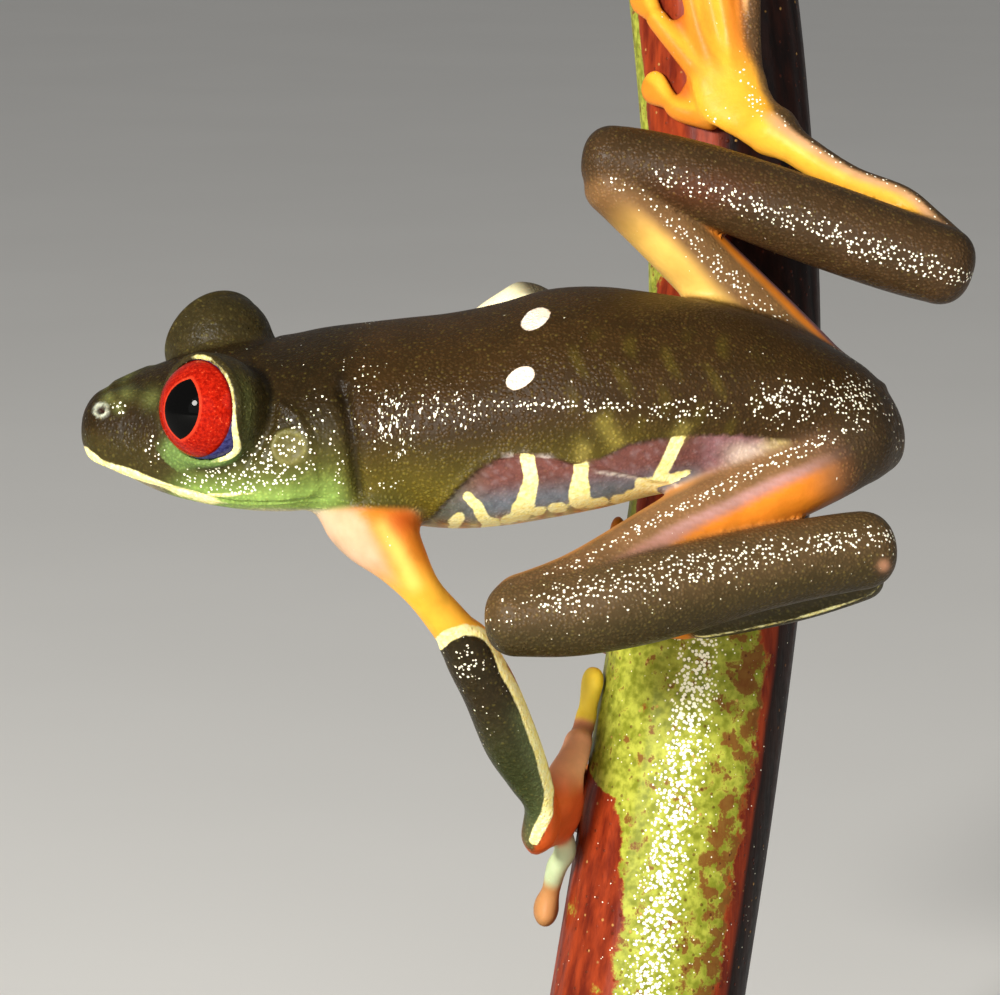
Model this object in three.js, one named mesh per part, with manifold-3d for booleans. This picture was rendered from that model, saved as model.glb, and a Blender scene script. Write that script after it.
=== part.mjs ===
// Red-eyed tree frog clinging sideways to a short cut stem, life size, on a plain display stand.
// Millimetres, +Z up. The origin is the middle of the stand's underside and the frog faces -X.
import * as THREE from 'three';
import Module from 'manifold-3d';
import { mergeVertices } from 'three/addons/utils/BufferGeometryUtils.js';

const wasm = await Module();
wasm.setup();

// ---- Driving dimensions, in millimetres and degrees ----

const GAP = 0.3; // clearance between neighbouring pieces
const BARK_GAP = 0.36; // clearance under the digits, so that no digit needs trimming along its length
const FAR = 60; // beyond every surface of the frog, for the planes that divide it

const BASE = { radius: 32, thickness: 8, rounding: 1.5, socketDepth: 5 };
const ROD = { radius: 2, place: 6.4, top: 25 };

// The perch frame: its origin is the middle of the stem's lower cut, and it leans back with the stem.
const PERCH = { height: 15.3, leanDeg: 10 };
const STEM_LENGTH = 97;
// Height on the stem, then its shift to the side, and its radius
const STEM_AXIS = [[0, 6.2], [22.6, 9.8], [46.7, 13.1], [60.4, 13.9], [79.1, 12.7], [97, 10.4]];
const STEM_RADIUS = [[0, 7.5], [22.6, 7.35], [46.7, 6.9], [60.4, 6.55], [79.1, 6.5], [97, 6.4]];

// The body frame: x towards the vent, y to the frog's right, z towards its back. It rolls towards its left.
const BODY = { place: [0, -16, 50.6], rollDeg: 23, square: 2.25, snoutCap: 1.5, ventCap: 3.2 };
const NECK_X = -14; // the crease between head and trunk
// x, level of the greatest width, half width, height above that level, depth below it
const BODY_ROWS = [
  [-34.6, -1.2, 2.5, 2.6, 1.6],
  [-33.2, -1.5, 3.4, 3.3, 1.8],
  [-31.7, -1.8, 4.4, 4.0, 2.1],
  [-28.8, -2.1, 6.1, 4.9, 2.7],
  [-25.5, -2.3, 7.7, 5.8, 3.0],
  [-22.2, -2.3, 8.8, 6.4, 3.3],
  [-19.3, -1.9, 9.3, 6.5, 3.8],
  [-16.4, -1.0, 9.1, 6.4, 4.9],
  [-11.3, -0.5, 8.8, 7.0, 6.8],
  [-7.6, -0.5, 9.2, 7.5, 7.5],
  [-4, -0.2, 9.3, 8.0, 8.0],
  [-0.4, 0.5, 9.3, 8.4, 8.4],
  [3.3, 1.0, 9.2, 8.1, 8.1],
  [7, 1.4, 8.6, 7.3, 7.3],
  [10.6, 1.6, 7.6, 6.6, 6.6],
  [14.2, 1.6, 6.7, 5.7, 5.7],
  [17.9, 1.2, 5.9, 4.7, 4.7],
  [22.3, -0.3, 4.6, 3.8, 3.8],
  [25.6, -1.9, 3.4, 3.0, 3.0],
];
// The mouth line from the tip of the snout to the corner of the jaw, x and z in the body frame
const MOUTH = [[-37, -2.7], [-33, -2.8], [-29, -3.1], [-23, -3.4], [-17.6, -2.9]];
// The jaw lies inside the skin by inset, and its back edge leans forward by backLean down to floor.
const JAW = { inset: 0.35, backLean: 1.5, floor: -12 };

// Each eye looks forward of straight sideways by aheadDeg, and up by raisedDeg.
const EYE = {
  x: -24.7, side: 6.2, z: 3.0, radius: 3.7, lidRadius: 4.35, rimAt: 1.3, rimRadius: 4.2,
  aheadDeg: 41, raisedDeg: 16.5,
};

// Limbs lie in the perch frame. A row is x, y, z, half width and, where it differs, half thickness.
const LIMBS = {
  upper_arm_left: {
    rows: [
      [-14.6, -17.6, 45.4, 3.2],
      [-13.8, -19.6, 43.8, 3.3],
      [-12.6, -21, 42, 2.9],
      [-11.1, -21.2, 40, 2.0],
      [-9.6, -20.4, 37.9, 1.4],
      [-8, -18.8, 35.9, 1.45],
      [-6.2, -17, 33.6, 1.7],
    ],
    clearOf: ['trunk', 'head'],
  },
  forearm_left: {
    rows: [
      [-7, -17.6, 35.2, 1.7],
      [-6.1, -16.6, 33.1, 1.95],
      [-4.7, -15, 30.4, 2.05],
      [-3.2, -12.8, 26.7, 2.05],
      [-1.9, -10.6, 24, 1.65],
      [-1, -8.8, 21.7, 1.2],
      [-1.2, -7.2, 18.6, 1.05],
    ],
    clearOf: ['upper_arm_left'],
  },
  upper_arm_right: {
    rows: [
      [-12.5, -11, 51.8, 2.6],
      [-10.4, -7.6, 53.8, 1.9],
      [-7.4, -6.2, 56.8, 1.5],
      [-4, -6, 59.2, 1.6],
      [-1.6, -6, 60, 1.7],
    ],
    clearOf: ['trunk', 'head'],
  },
  forearm_right: {
    rows: [
      [-3.8, -6.2, 60, 1.7],
      [-1, -5.5, 59.1, 1.9],
      [1, -4.6, 57.4, 2.0],
      [3.2, -3.2, 55.4, 1.6],
      [4.9, -1.9, 53.4, 1.1],
    ],
    clearOf: ['upper_arm_right', 'trunk'],
  },
  thigh_left: {
    rows: [
      [22.8, -16.5, 49.5, 2.8],
      [21, -18.5, 48.2, 3.1],
      [17, -20, 46.3, 3.1],
      [12.5, -21, 44.3, 2.95],
      [8.2, -22, 42.4, 2.85],
      [1.6, -23.4, 38.9, 2.6],
      [-4.2, -24.6, 36.8, 2.3],
    ],
    clearOf: ['trunk'],
  },
  shank_left: {
    rows: [
      [-5.1, -24.8, 36, 2.5],
      [-2, -24.8, 36, 2.75],
      [1.7, -24.7, 36.4, 3.05],
      [6.8, -24.3, 37.6, 3.3],
      [14.6, -22.8, 39.5, 3.0],
      [21.2, -21.2, 40.7, 2.85],
      [24.4, -20.5, 40.9, 2.7],
    ],
    clearOf: ['thigh_left', 'trunk'],
  },
  tarsus_left: {
    rows: [
      [23.6, -18.4, 39.4, 1.7],
      [21.4, -17.6, 38.5, 1.7],
      [17.9, -16.2, 37.4, 1.75],
      [13.6, -14.4, 36.3, 1.65],
      [10, -12.8, 35.5, 1.5],
    ],
    clearOf: ['shank_left', 'thigh_left'],
  },
  thigh_right: {
    rows: [
      [21.9, -14, 50.4, 2.7],
      [18.1, -12, 54.6, 2.8],
      [12, -12, 60.7, 2.7],
      [8.3, -12.5, 64.3, 2.6],
      [5, -13, 67.2, 2.4],
      [2.9, -13, 68.9, 2.2],
    ],
    clearOf: ['trunk', 'thigh_left'],
  },
  shank_right: {
    rows: [
      [2, -13, 69.4, 2.5],
      [5.2, -13, 69.2, 2.7],
      [10.7, -13.5, 67.8, 2.9],
      [18, -14, 65.2, 3.1],
      [25.3, -14.5, 62.6, 3.05],
      [30.6, -15, 60.9, 2.7],
    ],
    clearOf: ['thigh_right'],
  },
  tarsus_right: {
    rows: [
      [30, -13.8, 61.9, 1.6],
      [27.4, -13, 64.6, 1.4],
      [25.5, -12.5, 66.5, 1.15],
      [21.8, -12, 68, 1.1],
      [18.2, -11, 70.3, 1.35],
      [16.1, -9.9, 72.1, 1.6],
    ],
    clearOf: ['shank_right'],
  },
};

// Palms and soles press on the stem. Rows as for the limbs; the thickness points away from the stem.
const PALMS = {
  palm_left: {
    rows: [
      [-1, -7.2, 19.4, 1.1, 1],
      [-0.2, -5, 19.4, 1.7, 0.9],
      [0.7, -2.4, 20.6, 2.6, 0.9],
      [1.2, -0.3, 21.6, 2.9, 0.8],
    ],
    clearOf: ['forearm_left', 'perch_stem'],
  },
  palm_right: {
    rows: [
      [4.7, -2.1, 53.6, 1.2, 1],
      [5, -0.9, 52.6, 2, 0.9],
      [5.5, 1.5, 51.6, 2.8, 0.8],
    ],
    clearOf: ['forearm_right', 'perch_stem', 'trunk'],
  },
  sole_left: {
    rows: [
      [10.4, -12.9, 35.6, 1.5, 1.4],
      [7.6, -10.2, 36, 1.8, 1.2],
      [5.2, -7, 36.6, 2.3, 1],
      [3.9, -4.4, 37.2, 2.6, 0.9],
    ],
    clearOf: ['tarsus_left', 'shank_left', 'thigh_left', 'perch_stem'],
  },
  sole_right: {
    rows: [
      [16.3, -9.9, 71.9, 1.5, 1.3],
      [14.5, -8.8, 73.2, 2.2, 1],
      [13, -8, 75, 3, 0.8],
    ],
    clearOf: ['tarsus_right', 'shank_right', 'thigh_right', 'perch_stem'],
  },
};

// Digits run over the stem's bark from the palm or sole to the middle of the pad. A stop is height on
// the stem, angle round it (0 faces the front, -90 the frog's head end) and how far the digit arches
// off the bark.
const DIGITS = {
  finger_left: {
    palm: 'palm_left',
    stops: [
      [[22.8, -90, 0.1], [25, -90, 0], [27.6, -80, 0], [29.8, -66, 0]],
      [[21.6, -93, 0], [23.2, -120, 0], [24.2, -148, 0], [24.8, -172, 0]],
      [[20.2, -93, 0], [19.4, -122, 0], [18.2, -152, 0], [17.4, -180, 0]],
      [[19.1, -92, 0.1], [17.4, -90, 0.3], [15, -90, 0.6], [12.6, -88, 0.1]],
    ],
  },
  finger_right: {
    palm: 'palm_right',
    stops: [
      [[53, -90, 0], [55.2, -84, 0], [57.2, -72, 0]],
      [[52.2, -94, 0], [53.6, -122, 0], [54.8, -150, 0]],
      [[51, -96, 0], [50.9, -125, 0], [50.6, -162, 0]],
      [[50, -94, 0], [48.2, -112, 0], [46.4, -136, 0]],
    ],
  },
  toe_left: {
    palm: 'sole_left',
    stops: [
      [[38.8, -60, 0], [40.6, -78, 0], [41.8, -96, 0]],
      [[38, -66, 0], [39.4, -92, 0], [40.2, -120, 0]],
      [[37.2, -68, 0], [37.6, -102, 0], [38, -144, 0]],
      [[36.2, -68, 0], [35.6, -105, 0], [35.2, -150, 0], [35, -186, 0]],
      [[35.4, -62, 0], [33.9, -90, 0], [32.8, -128, 0]],
    ],
  },
  toe_right: {
    palm: 'sole_right',
    stops: [
      [[72.8, -6, 0.1], [73.6, -30, 0], [75.4, -49, 0]],
      [[75, -8, 0.2], [77.4, -22, 0.1], [80.4, -40, 0], [82.2, -52, 0]],
      [[75.8, -1, 0.2], [79, -12, 0.1], [84.6, -18, 0], [88.2, -22, 0]],
      [[75.8, 6, 0.2], [80, 3, 0.1], [86.6, 0, 0], [92, -2, 0]],
      [[74.8, 13, 0.2], [79, 16, 0.1], [84.6, 22, 0], [88.4, 30, 0]],
    ],
  },
};
const DIGIT = { rootRadius: 0.95, shaftRadius: 0.8, padWidth: 1.3, padThickness: 0.65 };
const PALM_CAPS = [1, 1.5];

// How finely each kind of swept body is divided around and along
const FINENESS = {
  body: { sides: 22, rings: 28 },
  limb: { sides: 11, rings: 9 },
  palm: { sides: 8, rings: 7 },
  digit: { sides: 7, rings: 7 },
};

// ---- Named colours ----

const COLOURS = {
  back: 0x5a4327,
  head: 0x6d6a2a,
  throat: 0xe9d9b0,
  armPale: 0xe8b45c,
  leg: 0x665136,
  orange: 0xe08a34,
  eye: 0xc9270f,
  stem: 0xa8843c,
  wood: 0x2f2a26,
  steel: 0xb8bcc0,
};

const skin = (color) => new THREE.MeshStandardMaterial({ color, roughness: 0.45, metalness: 0 });

// ---- Swept bodies ----

const ROW_STEPS = 8;

// One row of numbers on the Catmull-Rom spline through the rows, at t counted in rows.
function rowAt(rows, t) {
  const last = rows.length - 1;
  const i = Math.min(Math.floor(t), last - 1);
  const f = t - i;
  const row = (k) => rows[THREE.MathUtils.clamp(k, 0, last)];
  return rows[i].map((_, c) => {
    const [a, b, d, e] = [row(i - 1)[c], row(i)[c], row(i + 1)[c], row(i + 2)[c]];
    return b + 0.5 * f * (d - a + f * (2 * a - 5 * b + 4 * d - e + f * (3 * (b - d) + e - a)));
  });
}

// The spine of a swept body: its length, and place, direction and sizes at a distance along it.
function spineOf(rows) {
  const steps = (rows.length - 1) * ROW_STEPS;
  const samples = Array.from({ length: steps + 1 }, (_, k) => rowAt(rows, k / ROW_STEPS));
  const points = samples.map(([x, y, z]) => new THREE.Vector3(x, y, z));
  const along = [0];
  for (let k = 1; k <= steps; k += 1) {
    along.push(along[k - 1] + points[k].distanceTo(points[k - 1]));
  }
  const length = along[steps];
  const at = (distance) => {
    let k = 1;
    while (k < steps && along[k] < distance) k += 1;
    const share = (distance - along[k - 1]) / (along[k] - along[k - 1]);
    const inside = THREE.MathUtils.clamp(share, 0, 1);
    return {
      place: points[k - 1].clone().lerp(points[k], share),
      direction: points[k].clone().sub(points[k - 1]).normalize(),
      sizes: samples[k].map((v, c) => THREE.MathUtils.lerp(samples[k - 1][c], v, inside)).slice(3),
    };
  };
  return { length, at };
}

// A closed body swept along rows of x, y, z, half width, height above and depth below the spine.
// The ends are rounded over their cap lengths, and grow makes it larger on every side.
function sweptBody(rows, { sides, rings, facing, square = 2, caps, grow = 0 }) {
  const geometry = new THREE.SphereGeometry(1, sides, rings);
  const position = geometry.attributes.position;
  const spine = spineOf(rows);
  const bend = 2 / square;
  const vertex = new THREE.Vector3();
  for (let i = 0; i < position.count; i += 1) {
    vertex.fromBufferAttribute(position, i);
    const distance = ((1 - vertex.y) / 2) * (spine.length + 2 * grow) - grow;
    const { place, direction, sizes } = spine.at(distance);
    const [width, above, below] = sizes.map((v) => v + grow);
    const fromEnd = Math.min(
      (distance + grow) / (caps[0] + grow),
      (spine.length + grow - distance) / (caps[1] + grow),
      1,
    );
    const rounding = Math.sqrt(Math.max(0, 1 - (1 - fromEnd) ** 2));
    const side = new THREE.Vector3().crossVectors(direction, facing(place)).normalize();
    const lift = new THREE.Vector3().crossVectors(side, direction);
    const angle = Math.atan2(-vertex.z, vertex.x);
    const across = Math.sign(Math.cos(angle)) * Math.abs(Math.cos(angle)) ** bend;
    const over = Math.sign(Math.sin(angle)) * Math.abs(Math.sin(angle)) ** bend;
    place.addScaledVector(side, across * width * rounding);
    place.addScaledVector(lift, over * (over > 0 ? above : below) * rounding);
    position.setXYZ(i, place.x, place.y, place.z);
  }
  return geometry;
}

// ---- Solids for cutting and joining ----

function solidFrom(geometry) {
  const bare = geometry.index ? geometry.clone() : mergeVertices(geometry);
  bare.deleteAttribute('normal');
  bare.deleteAttribute('uv');
  const merged = mergeVertices(bare, 1e-4);
  const mesh = new wasm.Mesh({
    numProp: 3,
    vertProperties: merged.attributes.position.array,
    triVerts: new Uint32Array(merged.index.array),
  });
  return new wasm.Manifold(mesh);
}

function geometryFrom(solid) {
  const { vertProperties, triVerts } = solid.getMesh();
  const geometry = new THREE.BufferGeometry();
  geometry.setAttribute('position', new THREE.BufferAttribute(vertProperties, 3));
  geometry.setIndex(new THREE.BufferAttribute(triVerts, 1));
  geometry.computeVertexNormals();
  return geometry;
}

const largestPiece = (solid) => solid.decompose().sort((a, b) => b.volume() - a.volume())[0];

function boxSolid(from, to) {
  const size = to.map((v, i) => v - from[i]);
  const middle = to.map((v, i) => (v + from[i]) / 2);
  return solidFrom(new THREE.BoxGeometry(...size).translate(...middle));
}

// A cylinder solid along a direction, starting at a point.
function rodSolid(start, direction, length, radius, sides) {
  const geometry = new THREE.CylinderGeometry(radius, radius, length, sides).translate(0, length / 2, 0);
  const turn = new THREE.Quaternion().setFromUnitVectors(new THREE.Vector3(0, 1, 0), direction);
  return solidFrom(geometry.applyQuaternion(turn).translate(start.x, start.y, start.z));
}

// ---- Frames ----

const perch = new THREE.Group();
perch.position.set(0, 0, PERCH.height);
perch.rotation.x = -THREE.MathUtils.degToRad(PERCH.leanDeg);
perch.updateMatrix();

const bodyFrame = new THREE.Matrix4()
  .makeTranslation(...BODY.place)
  .multiply(new THREE.Matrix4().makeRotationX(THREE.MathUtils.degToRad(BODY.rollDeg)));

// A solid made in the body frame, moved into the perch frame.
const fromBody = (solid) => solid.transform(bodyFrame.elements);

// ---- The stem ----

const valueAt = (table, height) => {
  const last = table.length - 1;
  let k = 1;
  while (k < last && table[k][0] < height) k += 1;
  const t = k - 1 + (height - table[k - 1][0]) / (table[k][0] - table[k - 1][0]);
  return rowAt(table, THREE.MathUtils.clamp(t, 0, last))[1];
};
const stemSide = (height) => valueAt(STEM_AXIS, height);
const stemRadius = (height) => valueAt(STEM_RADIUS, height);

const awayFromStem = (point) => new THREE.Vector3(point.x - stemSide(point.z), point.y, 0).normalize();

function onStem(height, angleDeg, clearance) {
  const angle = THREE.MathUtils.degToRad(angleDeg);
  const reach = stemRadius(height) + clearance;
  return [stemSide(height) + reach * Math.sin(angle), -reach * Math.cos(angle), height];
}

function stem(grow = 0) {
  const geometry = new THREE.CylinderGeometry(1, 1, STEM_LENGTH, 18, 8);
  const position = geometry.attributes.position;
  for (let i = 0; i < position.count; i += 1) {
    const height = position.getY(i) + STEM_LENGTH / 2;
    const radius = stemRadius(height) + grow;
    const x = stemSide(height) + position.getX(i) * radius;
    position.setXYZ(i, x, -position.getZ(i) * radius, height);
  }
  return solidFrom(geometry);
}

// The hole for the rod is upright, so it crosses the leaning stem at an angle.
function stemWithRodHole() {
  const toPerch = perch.matrix.clone().invert();
  const start = new THREE.Vector3(ROD.place, 0, BASE.thickness).applyMatrix4(toPerch);
  const upwards = new THREE.Vector3(0, 0, 1).transformDirection(toPerch);
  const depth = ROD.top + GAP - BASE.thickness;
  return stem().subtract(rodSolid(start, upwards, depth, ROD.radius + GAP, 12));
}

// ---- Head and trunk ----

const bodyUp = () => new THREE.Vector3(0, 0, 1);

function wholeBody(grow = 0) {
  const rows = BODY_ROWS.map(([x, z, width, above, below]) => [x, 0, z, width, above, below]);
  const caps = [BODY.snoutCap, BODY.ventCap];
  return solidFrom(
    sweptBody(rows, { ...FINENESS.body, facing: bodyUp, square: BODY.square, caps, grow }),
  );
}

function trunk(grow = 0) {
  const behindNeck = boxSolid([NECK_X + GAP / 2 - grow, -FAR, -FAR], [FAR, FAR, FAR]);
  return fromBody(wholeBody(grow).intersect(behindNeck));
}

function eyeAxis(side) {
  const ahead = THREE.MathUtils.degToRad(EYE.aheadDeg);
  const raised = THREE.MathUtils.degToRad(EYE.raisedDeg);
  return new THREE.Vector3(
    -Math.sin(ahead) * Math.cos(raised),
    side * Math.cos(ahead) * Math.cos(raised),
    Math.sin(raised),
  );
}

const eyeCentre = (side) => new THREE.Vector3(EYE.x, side * EYE.side, EYE.z);

function ball(centre, radius) {
  const geometry = new THREE.SphereGeometry(radius, 14, 9);
  return solidFrom(geometry.translate(centre.x, centre.y, centre.z));
}

// The part below the mouth line and in front of the jaw's corner, lowered by drop.
function belowMouth(drop) {
  const outline = new THREE.Shape();
  const corner = MOUTH.at(-1);
  MOUTH.forEach(([x, z], i) => outline[i ? 'lineTo' : 'moveTo'](x - (i ? drop : 0), z - drop));
  outline.lineTo(corner[0] - JAW.backLean - drop, JAW.floor);
  outline.lineTo(MOUTH[0][0], JAW.floor);
  outline.closePath();
  const geometry = new THREE.ExtrudeGeometry(outline, { depth: 2 * FAR, bevelEnabled: false });
  return solidFrom(geometry.rotateX(Math.PI / 2).translate(0, FAR, 0));
}

function head(grow = 0) {
  let solid = wholeBody(grow).intersect(
    boxSolid([-FAR, -FAR, -FAR], [NECK_X - GAP / 2 + grow, FAR, FAR]),
  );
  for (const side of [-1, 1]) {
    solid = solid.add(ball(eyeCentre(side), EYE.lidRadius + grow));
  }
  if (grow > 0) return fromBody(solid);
  for (const side of [-1, 1]) {
    const rim = eyeCentre(side).addScaledVector(eyeAxis(side), EYE.rimAt);
    solid = solid.subtract(rodSolid(rim, eyeAxis(side), 2 * EYE.lidRadius, EYE.rimRadius, 14));
    solid = solid.subtract(ball(eyeCentre(side), EYE.radius + GAP));
  }
  return fromBody(solid.subtract(belowMouth(0)));
}

function lowerJaw() {
  return fromBody(wholeBody(-JAW.inset).intersect(belowMouth(GAP)));
}

// ---- Limbs, palms and digits ----

const withBothSides = ([x, y, z, width, thickness = width]) => [x, y, z, width, thickness, thickness];

const limbUp = () => new THREE.Vector3(0.2, 0.2, 1).normalize();

function limb({ rows }, grow) {
  const full = rows.map(withBothSides);
  const caps = [full[0][3], full.at(-1)[3]];
  return solidFrom(sweptBody(full, { ...FINENESS.limb, facing: limbUp, caps, grow }));
}

function palm({ rows }, grow) {
  const full = rows.map(withBothSides);
  return solidFrom(sweptBody(full, { ...FINENESS.palm, facing: awayFromStem, caps: PALM_CAPS, grow }));
}

// The far edge of a round pad: its middle row, pushed on over the bark by the pad's half width.
function tipBeyond(pad, before) {
  const onward = new THREE.Vector3(...pad).sub(new THREE.Vector3(...before));
  const tip = new THREE.Vector3(...pad).addScaledVector(onward.normalize(), DIGIT.padWidth);
  const away = awayFromStem(tip);
  const reach = stemRadius(tip.z) + BARK_GAP + DIGIT.padThickness;
  return [stemSide(tip.z) + away.x * reach, away.y * reach, tip.z, ...pad.slice(3)];
}

function digit(stops, grow) {
  const last = stops.length - 1;
  const rows = stops.map(([height, angle, arch], i) => {
    const radius = i ? DIGIT.shaftRadius : DIGIT.rootRadius;
    const [width, thickness] = i === last ? [DIGIT.padWidth, DIGIT.padThickness] : [radius, radius];
    return withBothSides([...onStem(height, angle, BARK_GAP + thickness + arch), width, thickness]);
  });
  rows.push(tipBeyond(rows[last], rows[last - 1]));
  const caps = [DIGIT.rootRadius, DIGIT.padWidth];
  return solidFrom(sweptBody(rows, { ...FINENESS.digit, facing: awayFromStem, caps, grow }));
}

// ---- Every piece in the perch frame: what shape it is, what it stays clear of, and its colour ----

const pieces = new Map();
const addPiece = (name, form, clearOf, color) => pieces.set(name, { form, clearOf, color });

addPiece('perch_stem', stem, [], COLOURS.stem);
addPiece('trunk', trunk, [], COLOURS.back);
addPiece('head', head, [], COLOURS.head);
addPiece('lower_jaw', lowerJaw, [], COLOURS.throat);
addPiece('eye_left', () => fromBody(ball(eyeCentre(-1), EYE.radius)), [], COLOURS.eye);
addPiece('eye_right', () => fromBody(ball(eyeCentre(1), EYE.radius)), [], COLOURS.eye);
for (const [name, part] of Object.entries(LIMBS)) {
  const color = name.startsWith('upper_arm') ? COLOURS.armPale : COLOURS.leg;
  addPiece(name, (grow) => limb(part, grow), part.clearOf, color);
}
for (const [name, part] of Object.entries(PALMS)) {
  addPiece(name, (grow) => palm(part, grow), part.clearOf, COLOURS.orange);
}
for (const [name, { palm: root, stops }] of Object.entries(DIGITS)) {
  stops.forEach((route, i) => {
    const earlier = stops.slice(0, i).map((_, k) => `${name}_${k + 1}`);
    const clearOf = [root, 'perch_stem', ...PALMS[root].clearOf, ...earlier];
    addPiece(`${name}_${i + 1}`, (grow) => digit(route, grow), clearOf, COLOURS.orange);
  });
}

const model = new THREE.Group();
model.add(perch);

for (const [name, { form, clearOf, color }] of pieces) {
  let solid = name === 'perch_stem' ? stemWithRodHole() : form(0);
  for (const other of new Set(clearOf)) {
    solid = solid.subtract(pieces.get(other).form(GAP));
  }
  const mesh = new THREE.Mesh(geometryFrom(largestPiece(solid)), skin(color));
  mesh.name = name;
  perch.add(mesh);
}

// ---- The display stand ----

function standBase() {
  const { radius, thickness, rounding, socketDepth } = BASE;
  const outline = new THREE.Path();
  outline.moveTo(0, 0);
  outline.lineTo(radius - 0.5, 0);
  outline.lineTo(radius, 0.5);
  outline.lineTo(radius, thickness - rounding);
  outline.absarc(radius - rounding, thickness - rounding, rounding, 0, Math.PI / 2, false);
  outline.lineTo(0, thickness);
  const disc = new THREE.LatheGeometry(outline.getPoints(2), 32).rotateX(Math.PI / 2);
  const socket = new THREE.Vector3(ROD.place, 0, thickness - socketDepth);
  const upwards = new THREE.Vector3(0, 0, 1);
  return solidFrom(disc).subtract(rodSolid(socket, upwards, socketDepth + 1, ROD.radius + GAP, 12));
}

const base = new THREE.Mesh(geometryFrom(standBase()), skin(COLOURS.wood));
base.name = 'stand_base';
model.add(base);

const rodFoot = BASE.thickness - BASE.socketDepth + GAP;
const rod = new THREE.Mesh(
  new THREE.CylinderGeometry(ROD.radius, ROD.radius, ROD.top - rodFoot, 12).rotateX(Math.PI / 2),
  new THREE.MeshStandardMaterial({ color: COLOURS.steel, roughness: 0.3, metalness: 1 }),
);
rod.position.set(ROD.place, 0, (ROD.top + rodFoot) / 2);
rod.name = 'stand_rod';
model.add(rod);

export default model;
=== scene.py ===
import math

import bpy
import numpy as np
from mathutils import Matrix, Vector


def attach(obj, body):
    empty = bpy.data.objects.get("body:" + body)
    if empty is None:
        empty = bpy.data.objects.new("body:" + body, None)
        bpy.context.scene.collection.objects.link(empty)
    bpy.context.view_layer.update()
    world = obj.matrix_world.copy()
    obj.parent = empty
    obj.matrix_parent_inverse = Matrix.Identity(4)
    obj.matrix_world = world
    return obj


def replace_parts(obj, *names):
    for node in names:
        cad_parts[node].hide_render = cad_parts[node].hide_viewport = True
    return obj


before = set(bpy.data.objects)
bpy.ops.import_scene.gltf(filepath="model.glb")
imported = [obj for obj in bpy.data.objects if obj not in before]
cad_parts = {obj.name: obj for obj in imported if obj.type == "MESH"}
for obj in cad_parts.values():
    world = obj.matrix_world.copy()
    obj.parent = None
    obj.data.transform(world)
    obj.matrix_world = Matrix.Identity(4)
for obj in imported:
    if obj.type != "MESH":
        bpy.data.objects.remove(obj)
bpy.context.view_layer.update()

MM = 0.001

# ---- Frames, in millimetres ----
# Part frame: origin under the stand. Perch frame: leans back with the stem, x to the right of the
# picture, z up in it. Body frame: x to the vent, y to the frog's right, z to its back.

PERCH_PLACE, LEAN = np.array([0.0, 0.0, 15.3]), math.radians(10)
BODY_PLACE, ROLL = np.array([0.0, -16.0, 50.6]), math.radians(23)


def turned(points, angle, i=1, j=2):
    """Points turned in the plane of axes i and j."""
    c, s = math.cos(angle), math.sin(angle)
    made = points.copy()
    made[:, i] = c * points[:, i] - s * points[:, j]
    made[:, j] = s * points[:, i] + c * points[:, j]
    return made


def perch_to_part(points):
    return turned(points, -LEAN) + PERCH_PLACE


def perch_to_body(points):
    return turned(points - BODY_PLACE, -ROLL)


def body_to_perch(points):
    return turned(points, ROLL) + BODY_PLACE


# ---- The camera: its frame is 1000 x 995 pixels, 13.7 of them to a millimetre at its target ----

TARGET, TARGET_PERCH = np.array([-4.0, -8.0, 62.0]), np.array([-4.0, -16.0, 44.6])
DISTANCE, SCALE = 350.0, 13.7


def seen(points):
    """Where points of the perch frame show in the camera's frame, in its pixels."""
    x, y, z = (points - TARGET_PERCH).T
    size = SCALE / (1 + y / DISTANCE)
    return np.stack([500 + x * size, 497.5 - z * size], axis=1)


# ---- Small helpers ----


def ramp(low, high, x):
    """A smooth step from 0 at low to 1 at high, which may lie below it."""
    t = np.clip((x - low) / (high - low), 0, 1)
    return t * t * (3 - 2 * t)


def bell(x, width):
    return np.exp(-((x / width) ** 2))


def smooth_min(a, b, k):
    h = np.maximum(k - np.abs(a - b), 0) / k
    return np.minimum(a, b) - h * h * k / 4


def smooth_max(a, b, k):
    return -smooth_min(-a, -b, k)


def unit_rows(rows):
    return rows / np.linalg.norm(rows, axis=1)[:, None]


def from_line(points, line):
    """The distance of 2-D or 3-D points from a polyline, and how far along it, 0 to 1, they are."""
    line = np.asarray(line, float)
    steps = np.linalg.norm(np.diff(line, axis=0), axis=1)
    starts = np.concatenate([[0], np.cumsum(steps)])
    best, along = np.full(len(points), 1e9), np.zeros(len(points))
    for k, step in enumerate(steps):
        direction = (line[k + 1] - line[k]) / step
        reach = np.clip((points - line[k]) @ direction, 0, step)
        gap = np.linalg.norm(points - line[k] - reach[:, None] * direction, axis=1)
        nearer = gap < best
        best[nearer] = gap[nearer]
        along[nearer] = (starts[k] + reach[nearer]) / starts[-1]
    return best, along


def from_spot(pixels, place, size=1.0):
    """The distance in millimetres of pixels from a place, or from a stretched spot round it."""
    return np.linalg.norm((pixels - place) / size, axis=1) / SCALE


def spline(rows, per_span=8):
    """Catmull-Rom through the rows."""
    rows = np.asarray(rows, float)
    last = len(rows) - 1
    t = np.linspace(0, last, last * per_span + 1)
    i = np.minimum(t.astype(int), last - 1)
    f = (t - i)[:, None]
    a, b = rows[np.clip(i - 1, 0, last)], rows[i]
    c, d = rows[i + 1], rows[np.clip(i + 2, 0, last)]
    return b + 0.5 * f * (c - a + f * (2 * a - 5 * b + 4 * c - d + f * (3 * (b - c) + d - a)))


# ---- The stem's axis and radius, by height in the perch frame ----

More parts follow.
